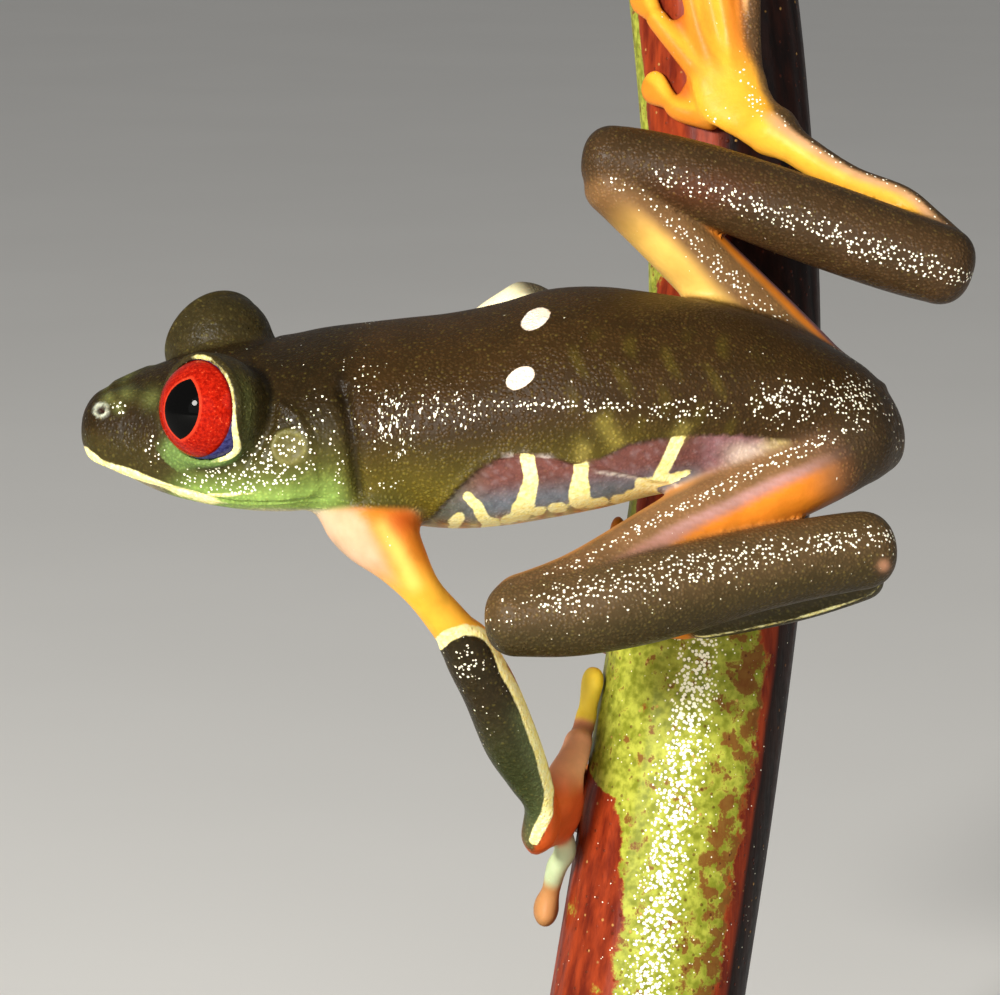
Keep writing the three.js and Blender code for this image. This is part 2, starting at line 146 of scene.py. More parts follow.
STEM_LENGTH = 97.0
STEM_AXIS = spline([[0, 6.2], [22.6, 9.8], [46.7, 13.1], [60.4, 13.9], [79.1, 12.7], [97, 10.4]])
STEM_RADIUS = spline([[0, 7.5], [22.6, 7.35], [46.7, 6.9], [60.4, 6.55], [79.1, 6.5], [97, 6.4]])


def stem_side(height):
    return np.interp(height, STEM_AXIS[:, 0], STEM_AXIS[:, 1])


def stem_radius(height):
    return np.interp(height, STEM_RADIUS[:, 0], STEM_RADIUS[:, 1])


def away_from_stem(points):
    x, y, z = points.T
    return unit_rows(np.stack([x - stem_side(z), y, 0 * z], axis=1))


def on_stem(height, angle, clearance):
    reach, turn = stem_radius(height) + clearance, math.radians(angle)
    return [stem_side(height) + reach * math.sin(turn), -reach * math.cos(turn), height]


def stem_distance(points):
    x, y, z = points.T
    return np.hypot(x - stem_side(z), y) - stem_radius(z)


# ---- Swept bodies as distance fields ----


class Sweep:
    """A body swept along rows of x, y, z, half width, half thickness, rounded over its end caps."""

    SAMPLES, END_SQUARE = 48, 2.4

    def __init__(self, rows, facing, caps, blend):
        table = spline([list(r) + [r[3]] * (5 - len(r)) for r in rows])
        arc = np.concatenate([[0], np.cumsum(np.linalg.norm(np.diff(table[:, :3], axis=0), axis=1))])
        along = np.linspace(caps[0], arc[-1] - caps[1], self.SAMPLES)
        table = np.stack([np.interp(along, arc, table[:, k]) for k in range(5)], axis=1)
        self.points, sizes, self.caps, self.blend = table[:, :3], table[:, 3:], caps, blend
        self.step, self.length = along[1] - along[0], along[-1] - along[0]
        direction = unit_rows(np.gradient(self.points, axis=0))
        self.side = unit_rows(np.cross(direction, facing(self.points)))
        lift = np.cross(self.side, direction)
        self.columns = np.hstack([self.points, direction, self.side, lift, sizes])
        reach = sizes.max() + max(caps) + blend + 0.8
        self.low, self.high = self.points.min(axis=0) - reach, self.points.max(axis=0) + reach

    def near(self, points):
        return ((points > self.low) & (points < self.high)).all(axis=1)

    def measure(self, points):
        """The distance, the share of the length, and the places across and over in half sizes."""
        near = (self.points**2).sum(axis=1)[None] - 2 * points @ self.points.T
        s = near.argmin(axis=1) * self.step
        for _ in range(3):
            k = np.clip(s / self.step, 0, self.SAMPLES - 1.001)
            i = k.astype(int)
            f = (k - i)[:, None]
            row = self.columns[i] * (1 - f) + self.columns[i + 1] * f
            offset = points - row[:, :3]
            ahead = (offset * row[:, 3:6]).sum(axis=1)
            s = np.clip(s + ahead, 0, self.length)
        across, over = (offset * row[:, 6:9]).sum(axis=1), (offset * row[:, 9:12]).sum(axis=1)
        width, thick = row[:, 12], row[:, 13]
        beyond = np.where(s <= 0, np.minimum(ahead, 0) / self.caps[0], 0)
        beyond = np.where(s >= self.length, np.maximum(ahead, 0) / self.caps[1], beyond)
        cap = np.where(s <= 0, self.caps[0], self.caps[1])
        round_share = np.sqrt((across / width) ** 2 + (over / thick) ** 2)
        steep = np.sqrt((across / width**2) ** 2 + (over / thick**2) ** 2) / np.maximum(round_share, 1e-6)
        m = self.END_SQUARE
        k = (round_share**m + np.abs(beyond) ** m) ** (1 / m)
        slope = np.hypot(round_share ** (m - 1) * steep, np.abs(beyond) ** (m - 1) / cap)
        slope /= np.maximum(k, 1e-6) ** (m - 1)
        gap = np.where(k > 1e-3, (k - 1) / np.maximum(slope, 1e-6), -np.minimum(width, thick))
        return gap, s / self.length, across / width, over / thick

    def distance(self, points):
        parts = np.array_split(points, len(points) // 60000 + 1)
        return np.concatenate([self.measure(part)[0] for part in parts])


# ---- The body: x, level of the greatest width, half width, height above it, depth below it ----

BODY_ROWS = [
    [-34.6, -1.2, 2.5, 2.4, 1.6], [-33.2, -1.5, 3.4, 3.2, 1.8], [-31.7, -1.8, 4.4, 4.2, 2.1],
    [-28.8, -2.1, 6.1, 5.6, 2.7], [-25.5, -2.3, 7.7, 6.8, 3.0], [-22.2, -2.3, 8.8, 7.3, 3.3],
    [-19.3, -1.9, 9.3, 7.2, 3.8], [-16.4, -1.0, 9.1, 6.9, 4.9], [-11.3, -0.5, 8.8, 7.1, 6.8],
    [-7.6, -0.5, 9.2, 7.5, 7.2], [-4, -0.2, 9.3, 8.0, 7.3], [-0.4, 0.5, 9.3, 8.4, 7.4],
    [3.3, 1.0, 9.2, 8.1, 7.1], [7, 1.4, 8.6, 7.3, 6.6], [10.6, 1.6, 7.6, 6.6, 6.3],
    [14.2, 1.6, 6.7, 5.7, 5.7], [17.9, 1.2, 5.9, 4.7, 4.7], [22.3, -0.3, 4.6, 3.8, 3.8],
    [25.6, -1.9, 3.4, 3.0, 3.0],
]
BODY_TABLE = spline(BODY_ROWS, 12)
BODY_SQUARE = 2.25  # 2 would make the sections elliptic
FAR = 9.0  # stands for any distance too long to matter
SNOUT_CAP, VENT_CAP = 1.5, 3.2


def body_section(x):
    return [np.interp(x, BODY_TABLE[:, 0], BODY_TABLE[:, k]) for k in range(1, 5)]


def body_distance(body):
    """Distance from the head and trunk, for points of the body frame."""
    x = body[:, 0]
    level, width, above, below = body_section(x)
    over = body[:, 2] - level
    height = np.where(over > 0, above, below)
    m = BODY_SQUARE
    ra, rb = np.abs(body[:, 1]) / width, np.abs(over) / height
    front, back = BODY_ROWS[0][0] + SNOUT_CAP, BODY_ROWS[-1][0] - VENT_CAP
    cap = np.where(x < 0, SNOUT_CAP, VENT_CAP)
    rt = np.maximum(np.maximum(front - x, x - back), 0) / cap
    k = (ra**m + rb**m + rt**m) ** (1 / m)
    steep = (ra ** (m - 1) / width) ** 2 + (rb ** (m - 1) / height) ** 2 + (rt ** (m - 1) / cap) ** 2
    slope = k ** (1 - m) * np.sqrt(steep)
    return np.where(k > 1e-3, (k - 1) / np.maximum(slope, 1e-3), -3.0)


# ---- Eyes and lids ----

EYE_CENTRE = np.array([-24.7, 6.2, 3.0])  # the frog's right eye; the left one is its mirror image
EYE_RADIUS, LID_RADIUS, SOCKET_RADIUS = 3.7, 4.02, 3.74
IRIS_EDGE = 70.0  # degrees from the eye's axis
RIGHT_EYE_BACK, RIGHT_LID_LOWER = 12.0, 9.0  # degrees: the photograph hides the right eye's iris


def unit(ahead, raised):
    a, r = math.radians(ahead), math.radians(raised)
    return np.array([-math.sin(a) * math.cos(r), math.cos(a) * math.cos(r), math.sin(r)])


def perpendiculars(axis):
    """The directions upwards and backwards, square to an eye's axis."""
    up = np.array([0.0, 0.0, 1.0]) - axis[2] * axis
    up /= np.linalg.norm(up)
    back = np.cross(up, axis)
    return up, back if back[0] > 0 else -back


EYE_AXIS, PUPIL_AXIS = unit(44.5, 17), unit(35, 18)
EYE_UP, EYE_BACK = perpendiculars(EYE_AXIS)


def turned_back(offset, degrees):
    """Turns offsets from the right eye's centre towards the tail."""
    return turned(offset, -math.radians(degrees), 0, 1)


def from_eye(body):
    """Offsets of points of the body frame from the nearer eye's centre, folded onto the right side."""
    return np.where([False, True, False], np.abs(body), body) - EYE_CENTRE


def lid_place(body):
    """Distance from the nearer eye's centre, millimetres outside its lid's edge, and the turn round it."""
    offset = from_eye(body)
    right = body[:, 1] > 0
    offset[right] = turned_back(offset[right], -RIGHT_EYE_BACK)
    reach = np.linalg.norm(offset, axis=1)
    away = offset / np.maximum(reach, 1e-6)[:, None]
    angle = np.degrees(np.arccos(np.clip(away @ EYE_AXIS, -1, 1)))
    turn = np.degrees(np.arctan2(away @ EYE_BACK, away @ EYE_UP))
    around = (turn - 127 + 180) % 360 - 180
    opening = 69.5 + 17 * bell(around, np.where(around < 0, 21.0, 30.0))
    opening += 2.0 * bell(((turn + 360) % 360) - 200, 60)
    opening -= RIGHT_LID_LOWER * bell(turn, 75) * right
    return reach, np.radians(angle - opening) * EYE_RADIUS, turn


def body_field(body):
    """Distance from the head and trunk with the domes of the eyes and their openings."""
    x, y, z = body.T
    field = np.full(len(body), FAR)
    near = np.flatnonzero((np.abs(y) < 13) & (np.abs(z) < 13) & (x > -39) & (x < 30))
    field[near] = body_distance(body[near])
    near = near[np.linalg.norm(from_eye(body[near]), axis=1) < 7.5]
    reach, outside, _ = lid_place(body[near])
    rim = 0.16 * bell(outside - 0.35, 0.4)
    d = smooth_min(field[near], reach - LID_RADIUS - rim, 0.9)
    field[near] = np.maximum(smooth_max(d, -outside, 0.22), SOCKET_RADIUS - reach)
    return field


# ---- Limbs ----
# In the perch frame: blending, then rows of x, y, z, half width and, where it differs, half thickness

LIMBS = {
    "upper_arm_left": (1.5, [
        [-14.6, -17.6, 45.4, 3.2], [-13.8, -19.6, 43.8, 3.3], [-12.6, -21, 42, 2.9], [-11.1, -21.2, 40, 2.0],
        [-9.6, -20.4, 37.9, 1.4], [-8, -18.8, 35.9, 1.45], [-6.2, -17, 33.6, 1.7],
    ]),
    "forearm_left": (0.7, [
        [-7, -17.6, 35.2, 1.7], [-6.1, -16.6, 33.1, 1.95], [-4.7, -15, 30.4, 2.05], [-3.2, -12.8, 26.7, 2.05],
        [-1.9, -10.6, 24, 1.65], [-1, -8.8, 21.7, 1.2], [-1.2, -7.2, 18.6, 1.05],
    ]),
    "upper_arm_right": (1.5, [
        [-12.5, -11, 51.8, 2.6], [-10.4, -7.6, 53.2, 1.8], [-7.4, -6.2, 55.6, 1.45], [-4.4, -6, 58.0, 1.5],
        [-2.2, -6, 59.2, 1.6],
    ]),
    "forearm_right": (0.7, [
        [-3.8, -6.2, 59.0, 1.6], [-1.7, -5.7, 58.9, 1.8], [0.7, -4.6, 57.0, 1.9], [3.2, -3.2, 55.4, 1.6],
        [4.9, -1.9, 53.4, 1.1],
    ]),
    "thigh_left": (1.4, [
        [22.8, -16.5, 49.5, 2.8], [21, -18.5, 48.2, 3.1], [17, -20, 46.0, 2.95], [12.5, -21, 43.9, 2.75],
        [8.2, -22, 41.9, 2.6], [1.6, -23.4, 38.3, 2.4], [-4.2, -24.6, 36.4, 2.2],
    ]),
    "shank_left": (0.3, [
        [-5.1, -24.8, 36, 2.5], [-2, -24.8, 36, 2.75], [1.7, -24.7, 36.4, 3.05], [6.8, -24.3, 37.6, 3.3],
        [14.6, -22.8, 39.5, 3.0], [21.2, -21.2, 40.7, 2.85], [24.4, -20.5, 40.9, 2.7],
    ]),
    "tarsus_left": (0.35, [
        [23.6, -18.4, 39.4, 1.7], [21.4, -17.6, 38.5, 1.7], [17.9, -16.2, 37.4, 1.75],
        [13.6, -14.4, 36.3, 1.65], [10, -12.8, 35.5, 1.5],
    ]),
    "thigh_right": (1.4, [
        [21.9, -14, 50.4, 2.7], [18.1, -12, 54.6, 2.8], [12, -12, 60.7, 2.7], [8.3, -12.5, 64.3, 2.6],
        [5, -13, 67.2, 2.4], [2.9, -13, 68.9, 2.2],
    ]),
    "shank_right": (0.3, [
        [2, -13, 69.4, 2.5], [5.2, -13, 69.2, 2.7], [10.7, -13.5, 67.8, 2.9], [18, -14, 65.2, 3.1],
        [25.3, -14.5, 62.6, 3.05], [30.6, -15, 60.9, 2.7],
    ]),
    "tarsus_right": (0.35, [
        [30, -13.8, 61.9, 1.6], [27.4, -13, 64.6, 1.4], [25.5, -12.5, 66.5, 1.15], [21.8, -12, 68, 1.15],
        [18.2, -10.9, 70.3, 1.3], [15.9, -9.5, 72.3, 1.3],
    ]),
}
# Palms and soles: blending, the caps at both ends, and the rows
PALMS = {
    "palm_left": (1.3, [1.2, 1.8], [
        [-1.3, -8.0, 19.6, 1.9, 1.0], [-0.4, -6.0, 20.2, 2.5, 1.1], [0.7, -4.2, 20.8, 2.7, 1.2],
        [1.6, -2.4, 21.4, 2.7, 1.2],
    ]),
    "thenar_left": (1.0, [1.0, 1.0], [
        [-0.4, -7.0, 21.2, 1.1], [0.6, -5.0, 23.2, 1.3], [1.6, -3.0, 25.0, 1.15], [2.1, -1.8, 26.8, 0.95],
    ]),
    "palm_right": (1.3, [1.2, 1.8], [
        [4.7, -2.1, 53.6, 1.2, 1], [5, -0.9, 52.6, 2, 0.9], [5.5, 1.5, 51.6, 2.8, 0.8],
    ]),
    "sole_left": (1.3, [1.2, 1.8], [
        [10.4, -12.9, 35.6, 1.5, 1.4], [7.6, -10.2, 36, 1.8, 1.2], [5.2, -7, 36.6, 2.3, 1],
        [3.9, -4.4, 37.2, 2.6, 0.9],
    ]),
    "sole_right": (2.2, [1.2, 3.2], [
        [16.8, -10.0, 71.4, 1.3, 1.2], [14.8, -8.9, 73.0, 2.1, 1.05], [13.2, -8.1, 75.0, 2.9, 0.8],
        [12.4, -7.6, 77.4, 3.2, 0.55],
    ]),
}
# Digits: blending, how far each web reaches, and stops of height on the stem, angle round it (0 faces
# the camera, -90 the head end) and arch
DIGITS = {
    "finger_left": (0.6, [0.35] * 3, [
        [[23.6, -84, 0.3], [26.0, -80, 0.35], [28.0, -82, 0.1], [30.4, -80, 0.1]],
        [[21.6, -93, 0], [23.2, -120, 0], [24.2, -148, 0], [24.8, -172, 0]],
        [[20.2, -93, 0], [19.4, -122, 0], [18.2, -152, 0], [17.4, -180, 0]],
        [[19.2, -80, 0.6], [17.8, -74, 0.3], [16.6, -78, 0.6], [13.3, -92, 0.5]],
    ]),
    "finger_right": (0.6, [0.35] * 3, [
        [[53, -90, 0], [55.2, -84, 0], [57.2, -72, 0]],
        [[52.2, -94, 0], [53.6, -122, 0], [54.8, -150, 0]],
        [[51, -96, 0], [50.9, -125, 0], [50.6, -162, 0]],
        [[50, -94, 0], [48.2, -112, 0], [46.4, -136, 0]],
    ]),
    "toe_left": (0.8, [0.6] * 4, [
        [[38.8, -60, 0], [40.6, -78, 0], [41.8, -96, 0]],
        [[38, -66, 0], [39.4, -92, 0], [40.2, -120, 0]],
        [[37.2, -68, 0], [37.6, -102, 0], [38, -144, 0]],
        [[36.2, -68, 0], [35.6, -105, 0], [35.2, -150, 0], [35, -186, 0]],
        [[35.4, -62, 0], [33.9, -90, 0], [32.8, -128, 0]],
    ]),
    "toe_right": (0.9, [0.4, 0.52, 0.68, 0.68], [
        [[72.8, -6, 0.1], [73.6, -30, 0], [75.4, -49, 0]],
        [[75, -8, 0.2], [77.4, -22, 0.1], [80.4, -40, 0], [82.2, -52, 0]],
        [[75.8, -1, 0.2], [79, -12, 0.1], [84.6, -18, 0], [88.2, -22, 0]],
        [[75.8, 6, 0.2], [80, 3, 0.1], [86.6, 0, 0], [92, -2, 0]],
        [[74.8, 13, 0.2], [79, 16, 0.1], [84.6, 22, 0], [88.4, 30, 0]],
    ]),
}
PLUMP = {"finger_left_1": 1.14, "finger_left_4": 1.25}
ROOT_RADIUS, SHAFT_RADIUS, NECK_RADIUS = 0.95, 0.8, 0.7
PAD_WIDTH, PAD_THICKNESS, PAD_NECK = 1.3, 0.62, 1.7
WEB_ROWS, WEB_THICKNESS = 5, 0.36


def limb_up(points):
    return np.tile(np.array([0.2, 0.2, 1.0]) / math.sqrt(1.08), (len(points), 1))


def digit_rows(stops, plump):
    """Rows from the root over the bark to the round pad, with a thinner neck before the pad."""
    last = len(stops) - 1
    pad_sizes = [PAD_WIDTH * plump, PAD_THICKNESS * plump**2]
    rows = []
    for i, (height, angle, arch) in enumerate(stops):
        sizes = pad_sizes if i == last else [SHAFT_RADIUS if i else ROOT_RADIUS] * 2
        rows.append(on_stem(height, angle, sizes[1] - 0.08 + arch) + sizes)
    pad, before = np.array(rows[-1][:3]), np.array(rows[-2][:3])
    way = (pad - before) / np.linalg.norm(pad - before)
    rows.insert(-1, list(pad - way * PAD_NECK) + [NECK_RADIUS] * 2)
    tip = pad + way * PAD_WIDTH
    away = away_from_stem(tip[None])[0]
    reach = float(stem_radius(tip[2])) + pad_sizes[1] - 0.08 + stops[-1][2]
    rows.append([float(stem_side(tip[2])) + away[0] * reach, away[1] * reach, tip[2]] + pad_sizes)
    return rows


def web_rows(digits, share):
    """A thin sheet between the roots of two digits."""
    rows = []
    for far in np.linspace(0, 1, WEB_ROWS):
        ends = []
        for table in (spline(stops) for stops in digits):
            i = share * far * (len(table) - 1)
            ends.append([np.interp(i, range(len(table)), table[:, c]) for c in range(3)])
        (h1, a1, r1), (h2, a2, r2) = ends
        width = max(0.3, math.dist(on_stem(h1, a1, 0), on_stem(h2, a2, 0)) / 2) * (1 - 0.35 * far**2)
        rows.append(on_stem((h1 + h2) / 2, (a1 + a2) / 2, 0.5 + (r1 + r2) / 2) + [width, WEB_THICKNESS])
    return rows


sweeps = {}
for name, (softness, rows) in LIMBS.items():
    sweeps[name] = Sweep(rows, limb_up, [rows[0][3], rows[-1][3]], softness)
for name, (softness, caps, rows) in PALMS.items():
    sweeps[name] = Sweep(rows, away_from_stem, caps, softness)
for kind, (softness, webs, digits) in DIGITS.items():
    for i, stops in enumerate(digits, 1):
        name = f"{kind}_{i}"
        sweeps[name] = Sweep(digit_rows(stops, PLUMP.get(name, 1.0)), away_from_stem, [0.95, 1.3], softness)
    for i, share in enumerate(webs):
        rows = web_rows(digits[i : i + 2], share)
        sweeps[f"web_{kind}_{i + 1}"] = Sweep(rows, away_from_stem, [0.4, 0.25], 0.6)


# ---- The whole frog as one field, and its surface as a mesh ----


def frog_field(points):
    """The signed distance, in millimetres, of points of the perch frame from the frog's skin."""
    field = body_field(perch_to_body(points))
    for sweep in sweeps.values():
        near = sweep.near(points)
        if near.any():
            field[near] = smooth_min(field[near], sweep.distance(points[near]), sweep.blend)
    near = (field < 1.5) & (np.hypot(points[:, 0] - 11, points[:, 1]) < 13)
    field[near] = smooth_max(field[near], 0.02 - stem_distance(points[near]), 0.12)
    return field


def surface_net(field, low, step):
    """Quads of the zero surface of a field given on a grid."""
    inside = field < 0
    shape = np.array(field.shape) - 1
    corners = np.array([(i, j, k) for i in (0, 1) for j in (0, 1) for k in (0, 1)])
    ends = corners + shape
    windows = (inside[i:l, j:m, k:n] for (i, j, k), (l, m, n) in zip(corners, ends))
    count = sum(window.astype(np.int8) for window in windows)
    cells = np.argwhere((count > 0) & (count < 8))
    index = np.full(shape, -1, dtype=np.int64)
    index[tuple(cells.T)] = np.arange(len(cells))
    values = np.stack([field[tuple((cells + c).T)] for c in corners], axis=1)
    total, number = np.zeros((len(cells), 3)), np.zeros(len(cells))
    for a, b in [(a, b) for a in range(8) for b in range(a + 1, 8)]:
        if np.abs(corners[a] - corners[b]).sum() != 1:
            continue
        va, vb = values[:, a], values[:, b]
        cross = (va < 0) != (vb < 0)
        t = np.where(cross, va / np.where(cross, va - vb, 1), 0)[:, None]
        total += np.where(cross[:, None], corners[a] + t * (corners[b] - corners[a]), 0)
        number += cross
    verts = low + step * (cells + total / number[:, None])
    quads = []
    for axis in range(3):
        u, v = np.eye(3, dtype=int)[[(axis + 1) % 3, (axis + 2) % 3]]
        window = [slice(1, -1)] * 3
        window[axis] = slice(0, -1)
        a = inside[tuple(window)]
        window[axis] = slice(1, None)
        b = inside[tuple(window)]
        for order, edges in ((1, a & ~b), (-1, ~a & b)):
            base = np.argwhere(edges) + u + v
            ring = [index[tuple((base - du * u - dv * v).T)] for du, dv in ((1, 1), (0, 1), (0, 0), (1, 0))]
            quads.append(np.stack(ring, axis=1)[:, ::order])
    return verts, np.vstack(quads)


def vertex_normals(verts, faces):
    a, b, c = (verts[faces[:, k]] for k in range(3))
    cross, total = np.cross(b - a, c - a), np.zeros_like(verts)
    for k in range(3):
        for axis in range(3):
            total[:, axis] += np.bincount(faces[:, k], cross[:, axis], len(verts))
    return total / np.maximum(np.linalg.norm(total, axis=1), 1e-12)[:, None]


def project(verts, faces, chosen, rounds=2):
    """Moves the chosen vertices along their normals onto the zero surface."""
    for _ in range(rounds):
        normals = vertex_normals(verts, faces)[chosen]
        gap = np.clip(frog_field(verts[chosen]), -0.25, 0.25)
        verts[chosen] -= gap[:, None] * normals
    return verts


# A triangle's corners are 0 to 2 here, and the middles of its edges 3 to 5.
ONE_EDGE_SPLIT = [[0, 3, 2], [3, 1, 2]]
TWO_EDGES_SPLIT = [[3, 1, 4], [0, 3, 4], [0, 4, 2]]
ALL_EDGES_SPLIT = [[0, 3, 5], [3, 1, 4], [5, 4, 2], [3, 4, 5]]


def refine(verts, faces, target):
    """Splits every edge longer than its target, and the triangles beside it."""
    n = len(verts)
    sides = np.sort(np.vstack([faces[:, [0, 1]], faces[:, [1, 2]], faces[:, [2, 0]]]), axis=1)
    keys, inverse = np.unique(sides[:, 0] * n + sides[:, 1], return_inverse=True)
    a, b = keys // n, keys % n
    middle = (verts[a] + verts[b]) / 2
    long = np.linalg.norm(verts[a] - verts[b], axis=1) > target(middle)
    number = np.full(len(keys), -1)
    number[long] = n + np.arange(long.sum())
    m = number[inverse].reshape(3, -1).T
    split = (m >= 0).sum(axis=1)
    new = [faces[split == 0]] + [np.hstack([faces, m])[split == 3][:, c] for c in ALL_EDGES_SPLIT]
    for turn in range(3):
        six = np.hstack([np.roll(faces, -turn, axis=1), np.roll(m, -turn, axis=1)])
        new += [six[(split == 1) & (six[:, 3] >= 0)][:, c] for c in ONE_EDGE_SPLIT]
        new += [six[(split == 2) & (six[:, 5] < 0)][:, c] for c in TWO_EDGES_SPLIT]
    return np.vstack([verts, middle[long]]), np.vstack(new), np.arange(n, n + long.sum())


EDGE, HEAD_EDGE, EYE_EDGE, LID_EDGE, HIDDEN_EDGE = 0.5, 0.36, 0.2, 0.11, 1.0


def edge_target(points):
    """The longest edge, in millimetres, that the skin may have at each point."""
    body = perch_to_body(points)
    target = np.full(len(points), EDGE)
    target[(body[:, 0] < -10) | (stem_distance(points) < 1.8)] = HEAD_EDGE
    near = (body[:, 0] < -15) & (np.abs(body[:, 1]) < 13) & (np.abs(body[:, 2]) < 12)
    near &= np.linalg.norm(points - BODY_PLACE, axis=1) < 50
    reach, outside, _ = lid_place(body)
    hidden = reach < SOCKET_RADIUS + 0.06
    target[near & (reach < 6) & ~hidden] = EYE_EDGE
    target[near & (np.abs(outside) < 1.0) & (reach < 5) & ~hidden] = LID_EDGE
    target[near & hidden] = HIDDEN_EDGE
    return target


GRID_LOW, GRID_HIGH = np.array([-37.5, -29.5, 11.0]), np.array([35.5, 11.0, 97.0])
BODY_BOX = ((-37.0, 27.5), (-11.5, 11.5), (-9.5, 11.0))  # in the body frame


def skin_surface(step):
    """The frog's skin as a mesh in the perch frame, from a grid of distances of the given step."""
    low = GRID_LOW
    shape = np.ceil((GRID_HIGH - low) / step).astype(int) + 1
    corners = body_to_perch(np.stack(np.meshgrid(*BODY_BOX), axis=-1).reshape(-1, 3))
    boxes = [(corners.min(axis=0), corners.max(axis=0))] + [(s.low, s.high) for s in sweeps.values()]
    wanted = np.zeros(shape, dtype=bool)
    for a, b in boxes:
        i = np.clip(np.floor((a - low) / step).astype(int), 0, shape - 1)
        j = np.clip(np.ceil((b - low) / step).astype(int) + 1, 1, shape)
        wanted[i[0] : j[0], i[1] : j[1], i[2] : j[2]] = True
    cells = np.argwhere(wanted)
    field = np.full(shape, FAR, dtype=np.float32)
    for part in np.array_split(cells, len(cells) // 300000 + 1):
        field[tuple(part.T)] = frog_field(low + step * part)
    verts, quads = surface_net(field, low, step)
    faces = np.vstack([quads[:, [0, 1, 2]], quads[:, [0, 2, 3]]])
    verts = project(verts, faces, np.arange(len(verts)), 3)
    for _ in range(3):
        verts, faces, added = refine(verts, faces, edge_target)
        if not len(added):
            break
        verts = project(verts, faces, added)
    return verts, faces


# ---- Relief: folds, creases, ridges and the small forms of the head, along the skin's normals ----


def ridge(points, line, width, height, ends=0.12):
    """A rounded ridge, or a groove where the height is negative, that fades out at both ends."""
    gap, along = from_line(points, line)
    fade = ramp(0, ends, along) * ramp(0, ends, 1 - along)
    return height * bell(gap / SCALE, width) * fade


def left_view(body):
    """Where points of the body frame, folded onto the frog's left side, show to the camera."""
    return seen(body_to_perch(np.stack([body[:, 0], -np.abs(body[:, 1]), body[:, 2]], axis=1)))


NOSTRIL = [101, 410]
TYMPANUM = [289, 447]
TYMPANUM_FOLD = [[262, 398], [281, 404], [299, 418], [309, 440], [313, 468], [318, 492]]
SHOULDER_CREASE = [[338, 376], [346, 402], [352, 432], [356, 468], [362, 512]]
EYE_CREASE = [[246, 352], [263, 372], [272, 396], [270, 424], [258, 448], [240, 470]]
SNOUT_RIDGE = [[104, 394], [128, 392], [152, 396]]
LIP_LINE = [[80, 449], [100, 463], [140, 477], [180, 493], [215, 501], [250, 504], [290, 501], [322, 489]]
PATCH_EDGE = [[428, 520], [440, 502], [458, 483], [478, 466], [500, 455], [528, 452], [558, 455], [596, 464]]
PATCH_FOLDS = [
    (0.22, 0.32, PATCH_EDGE),
    (0.16, 0.24, [[540, 458], [580, 461], [620, 469], [655, 478], [700, 486]]),
    (0.14, 0.12, [[470, 500], [500, 482], [540, 484]]),
]
VENT_BUMP = [885, 384]


def body_relief(points, body, normals):
    """How far, in millimetres, the skin of the head and trunk is raised at each point."""
    flat, (x, _, z) = left_view(body), body.T
    out = ridge(flat, TYMPANUM_FOLD, 0.3, 0.2) + ridge(flat, SHOULDER_CREASE, 0.5, -0.55)
    out += ridge(flat, EYE_CREASE, 0.4, -0.34) + ridge(flat, LIP_LINE, 0.3, 0.1, 0.05)
    out += ridge(flat, SNOUT_RIDGE, 0.5, 0.16, 0.2)
    out -= 0.22 * bell(from_spot(flat, [132, 432], [1.3, 1.0]), 1.5)
    for width, height, line in PATCH_FOLDS:
        out += ridge(flat, line, width, height) * (x > -12)
    drum, nose = from_spot(flat, TYMPANUM), from_spot(flat, NOSTRIL)
    out += 0.12 * bell(drum - 1.15, 0.2) - 0.1 * bell(drum, 0.8)
    side = ramp(0.2, 0.5, np.abs(normals[:, 1]) * math.cos(ROLL))
    out += (0.1 * bell(nose - 0.42, 0.16) - 0.3 * bell(nose, 0.22)) * side
    out += 0.2 * bell(from_spot(seen(points), VENT_BUMP), 0.45) * (points[:, 1] < -14)
    _, outside, turn = lid_place(body)
    below = ramp(110, 140, turn % 360) * ramp(300, 250, turn % 360) * (x < -18)
    out -= 0.16 * bell(outside - 1.15, 0.28) * below
    mouth = np.interp(x, [-37, -33, -29, -23, -17.6], [-2.7, -2.8, -3.1, -3.4, -2.9])
    out -= 0.3 * bell(z - mouth, 0.16) * ramp(-16.4, -17.8, x) * (z < body_section(x)[0])
    return out - 0.12 * bell(z - mouth + 0.45, 0.35) * ramp(-16.4, -18.5, x)


# ---- Colours ----


def srgb(*values):
    v = np.array(values) / 255
    return np.where(v <= 0.04045, v / 12.92, ((v + 0.055) / 1.055) ** 2.4)


class Coat:
    """The colours of some points, laid over one another. Colours are given in sRGB, 0 to 255."""

    def __init__(self, count, colour):
        self.tone = np.tile(srgb(*colour), (count, 1))

    def lay(self, colour, share):
        new = colour.tone if isinstance(colour, Coat) else srgb(*colour)
        share = np.clip(share, 0, 1)[:, None]
        self.tone = self.tone * (1 - share) + new * share
        return self


def inside_outline(points, outline):
    """Distance in pixels inside a closed outline, negative outside it."""
    ring = np.array(outline + outline[:1], float)
    inside = np.zeros(len(points), dtype=bool)
    for (x0, y0), (x1, y1) in zip(ring[:-1], ring[1:]):
        if y0 != y1:
            crosses = (points[:, 1] > y0) != (points[:, 1] > y1)
            inside ^= crosses & (points[:, 0] < x0 + (points[:, 1] - y0) * (x1 - x0) / (y1 - y0))
    gap = from_line(points, ring)[0]
    return np.where(inside, gap, -gap)


